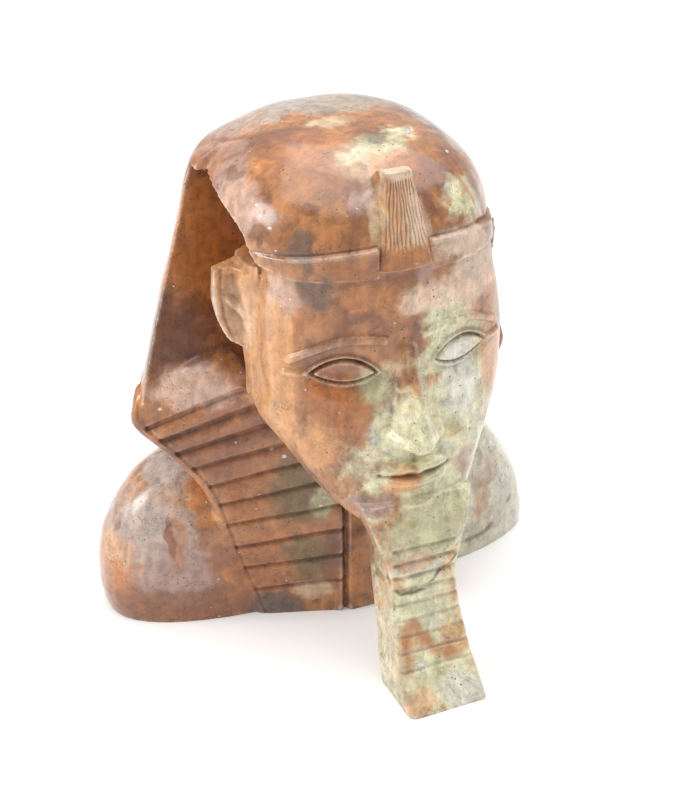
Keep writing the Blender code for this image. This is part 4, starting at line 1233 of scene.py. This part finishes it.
class BUST_OT_carve(Operator):
    """Rough out, fuse and carve the bust, and give it its stone"""

    bl_idname = "bust.carve"
    bl_label = "Carve the bust"

    def execute(self, context):
        sizes, look = context.scene.bust_sizes, context.scene.stone_look
        cloth, back, opening = crown(), wings(), face_opening()
        cut(cloth, back, "UNION")
        cut(cloth, opening)
        discard(back, opening)
        forms = [cloth, head(), nose(), neck(), chest(), shoulders(), beard(), beard_plate(), tail()]
        for side in (-1.0, 1.0):
            forms += [temple(side), ear(side), lappet(side)]
        body = join("bust_body", forms)
        fuse(body, sizes.grain, BODY_PASSES)
        carve(body, CARVINGS, sizes)
        soften(body, CARVED_PASSES)
        thin(body, sizes.triangles)
        cut_at_ground(body)
        brow = cobra()
        brow.name = "brow_cobra"
        fuse(brow, COBRA_GRAIN, COBRA_PASSES)
        carve(brow, (carve_scratches,), sizes)
        thin(brow, COBRA_TRIANGLES)
        pieces = (body, brow)
        for piece in pieces:
            measure_wear_and_shading(piece, sizes)
        mark_scratches(brow)
        share, shift = settle(pieces, sizes.height)
        stone = veined_stone(look, share, shift)
        for piece in pieces:
            piece.data.materials.clear()
            piece.data.materials.append(stone)
            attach(piece, "root")
            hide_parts("bust")
        return {"FINISHED"}


# The studio

def lamp(name, place, aim, size, power):
    """A soft square lamp that looks at a point."""
    light = bpy.data.lights.new(name, "AREA")
    light.shape = "SQUARE"
    light.size = size
    light.energy = power
    item = bpy.data.objects.new(name, light)
    item.location = place
    item.rotation_euler = (Vector(aim) - Vector(place)).to_track_quat("-Z", "Y").to_euler()
    bpy.context.scene.collection.objects.link(item)


def photographers_camera():
    """The camera: a long lens, to the figure's right and above."""
    turn, tilt = math.radians(CAMERA_TURN), math.radians(CAMERA_TILT)
    right = Vector((math.cos(turn), math.sin(turn), 0.0))
    up = Vector((-math.sin(turn) * math.sin(tilt), math.cos(turn) * math.sin(tilt), math.cos(tilt)))
    back = right.cross(up)
    share = (CAD_HIGH.z - CAD_LOW.z) / PARTS_TALL
    origin = Vector((CAD_LOW.x + SHOULDER_LEFT * share, CAD_LOW.y + BEARD_REACH * share, CAD_LOW.z))
    aim = origin + Vector(CAMERA_AIM) * share
    lens = bpy.data.cameras.new("camera")
    lens.sensor_width = CAMERA_SENSOR
    lens.lens = CAMERA_LENS
    lens.clip_start = 0.01
    camera = bpy.data.objects.new("camera", lens)
    placing = Matrix((right, up, back)).transposed().to_4x4()
    placing.translation = aim + back * (CAMERA_AWAY * share)
    camera.matrix_world = placing
    bpy.context.scene.collection.objects.link(camera)
    bpy.context.scene.camera = camera


class BUST_OT_studio(Operator):
    """Lay the pale floor, hang the lamps and place the camera"""

    bl_idname = "bust.studio"
    bl_label = "Set up the studio"

    def execute(self, context):
        look = context.scene.studio_look
        half = SEAMLESS_HALF if look.seamless else SHEET_HALF
        corners = [(-half, -half), (half, -half), (half, half), (-half, half)]
        mesh = bpy.data.meshes.new("floor")
        mesh.from_pydata([(x, y, 0.0) for x, y in corners], [], [(0, 1, 2, 3)])
        floor = keep("floor", mesh)
        paper = Tree("paper")
        paper.surface(Base_Color=tuple(look.floor_colour), Roughness=0.9, Specular_IOR_Level=0.1)
        paper.surface(Emission_Color=(1.0, 1.0, 1.0), Emission_Strength=look.floor_glow)
        mesh.materials.append(paper.material)
        lamp("overhead_lamp", (0.15, 0.15, 1.0), (0.0, 0.0, 0.05), 1.2, look.overhead)
        lamp("side_lamp", (-0.74, 0.16, 0.48), (0.0, 0.0, 0.07), 0.32, look.side)
        world = bpy.data.worlds.new("surround")
        world.use_nodes = True
        world.node_tree.nodes["Background"].inputs["Color"].default_value = (1.0, 1.0, 1.0, 1.0)
        world.node_tree.nodes["Background"].inputs["Strength"].default_value = look.surround
        context.scene.world = world
        context.scene.view_settings.view_transform = "Standard"
        photographers_camera()
        return {"FINISHED"}


class BUST_PT_panel(Panel):
    """The bust's sizes, stone and studio"""

    bl_idname = "BUST_PT_panel"
    bl_label = "Ruler bust"
    bl_space_type = "VIEW_3D"
    bl_region_type = "UI"
    bl_category = "Bust"

    def draw(self, context):
        for group in (context.scene.bust_sizes, context.scene.stone_look, context.scene.studio_look):
            box = self.layout.box()
            for name in group.__annotations__:
                box.prop(group, name)
        self.layout.operator("bust.carve")
        self.layout.operator("bust.studio")


GROUPS = (("bust_sizes", BustSizes), ("stone_look", StoneLook), ("studio_look", StudioLook))
CLASSES = (BUST_OT_carve, BUST_OT_studio, BUST_PT_panel)


def register():
    """Make the properties, operators and panel known to Blender."""
    for name, group in GROUPS:
        bpy.utils.register_class(group)
        setattr(bpy.types.Scene, name, PointerProperty(type=group))
    for kind in CLASSES:
        bpy.utils.register_class(kind)


def unregister():
    """Take them away again."""
    for kind in reversed(CLASSES):
        bpy.utils.unregister_class(kind)
    for name, group in reversed(GROUPS):
        delattr(bpy.types.Scene, name)
        bpy.utils.unregister_class(group)


def main():
    """Build the whole scene."""
    register()
    bpy.ops.bust.carve()
    bpy.ops.bust.studio()


if __name__ == "__main__":
    main()
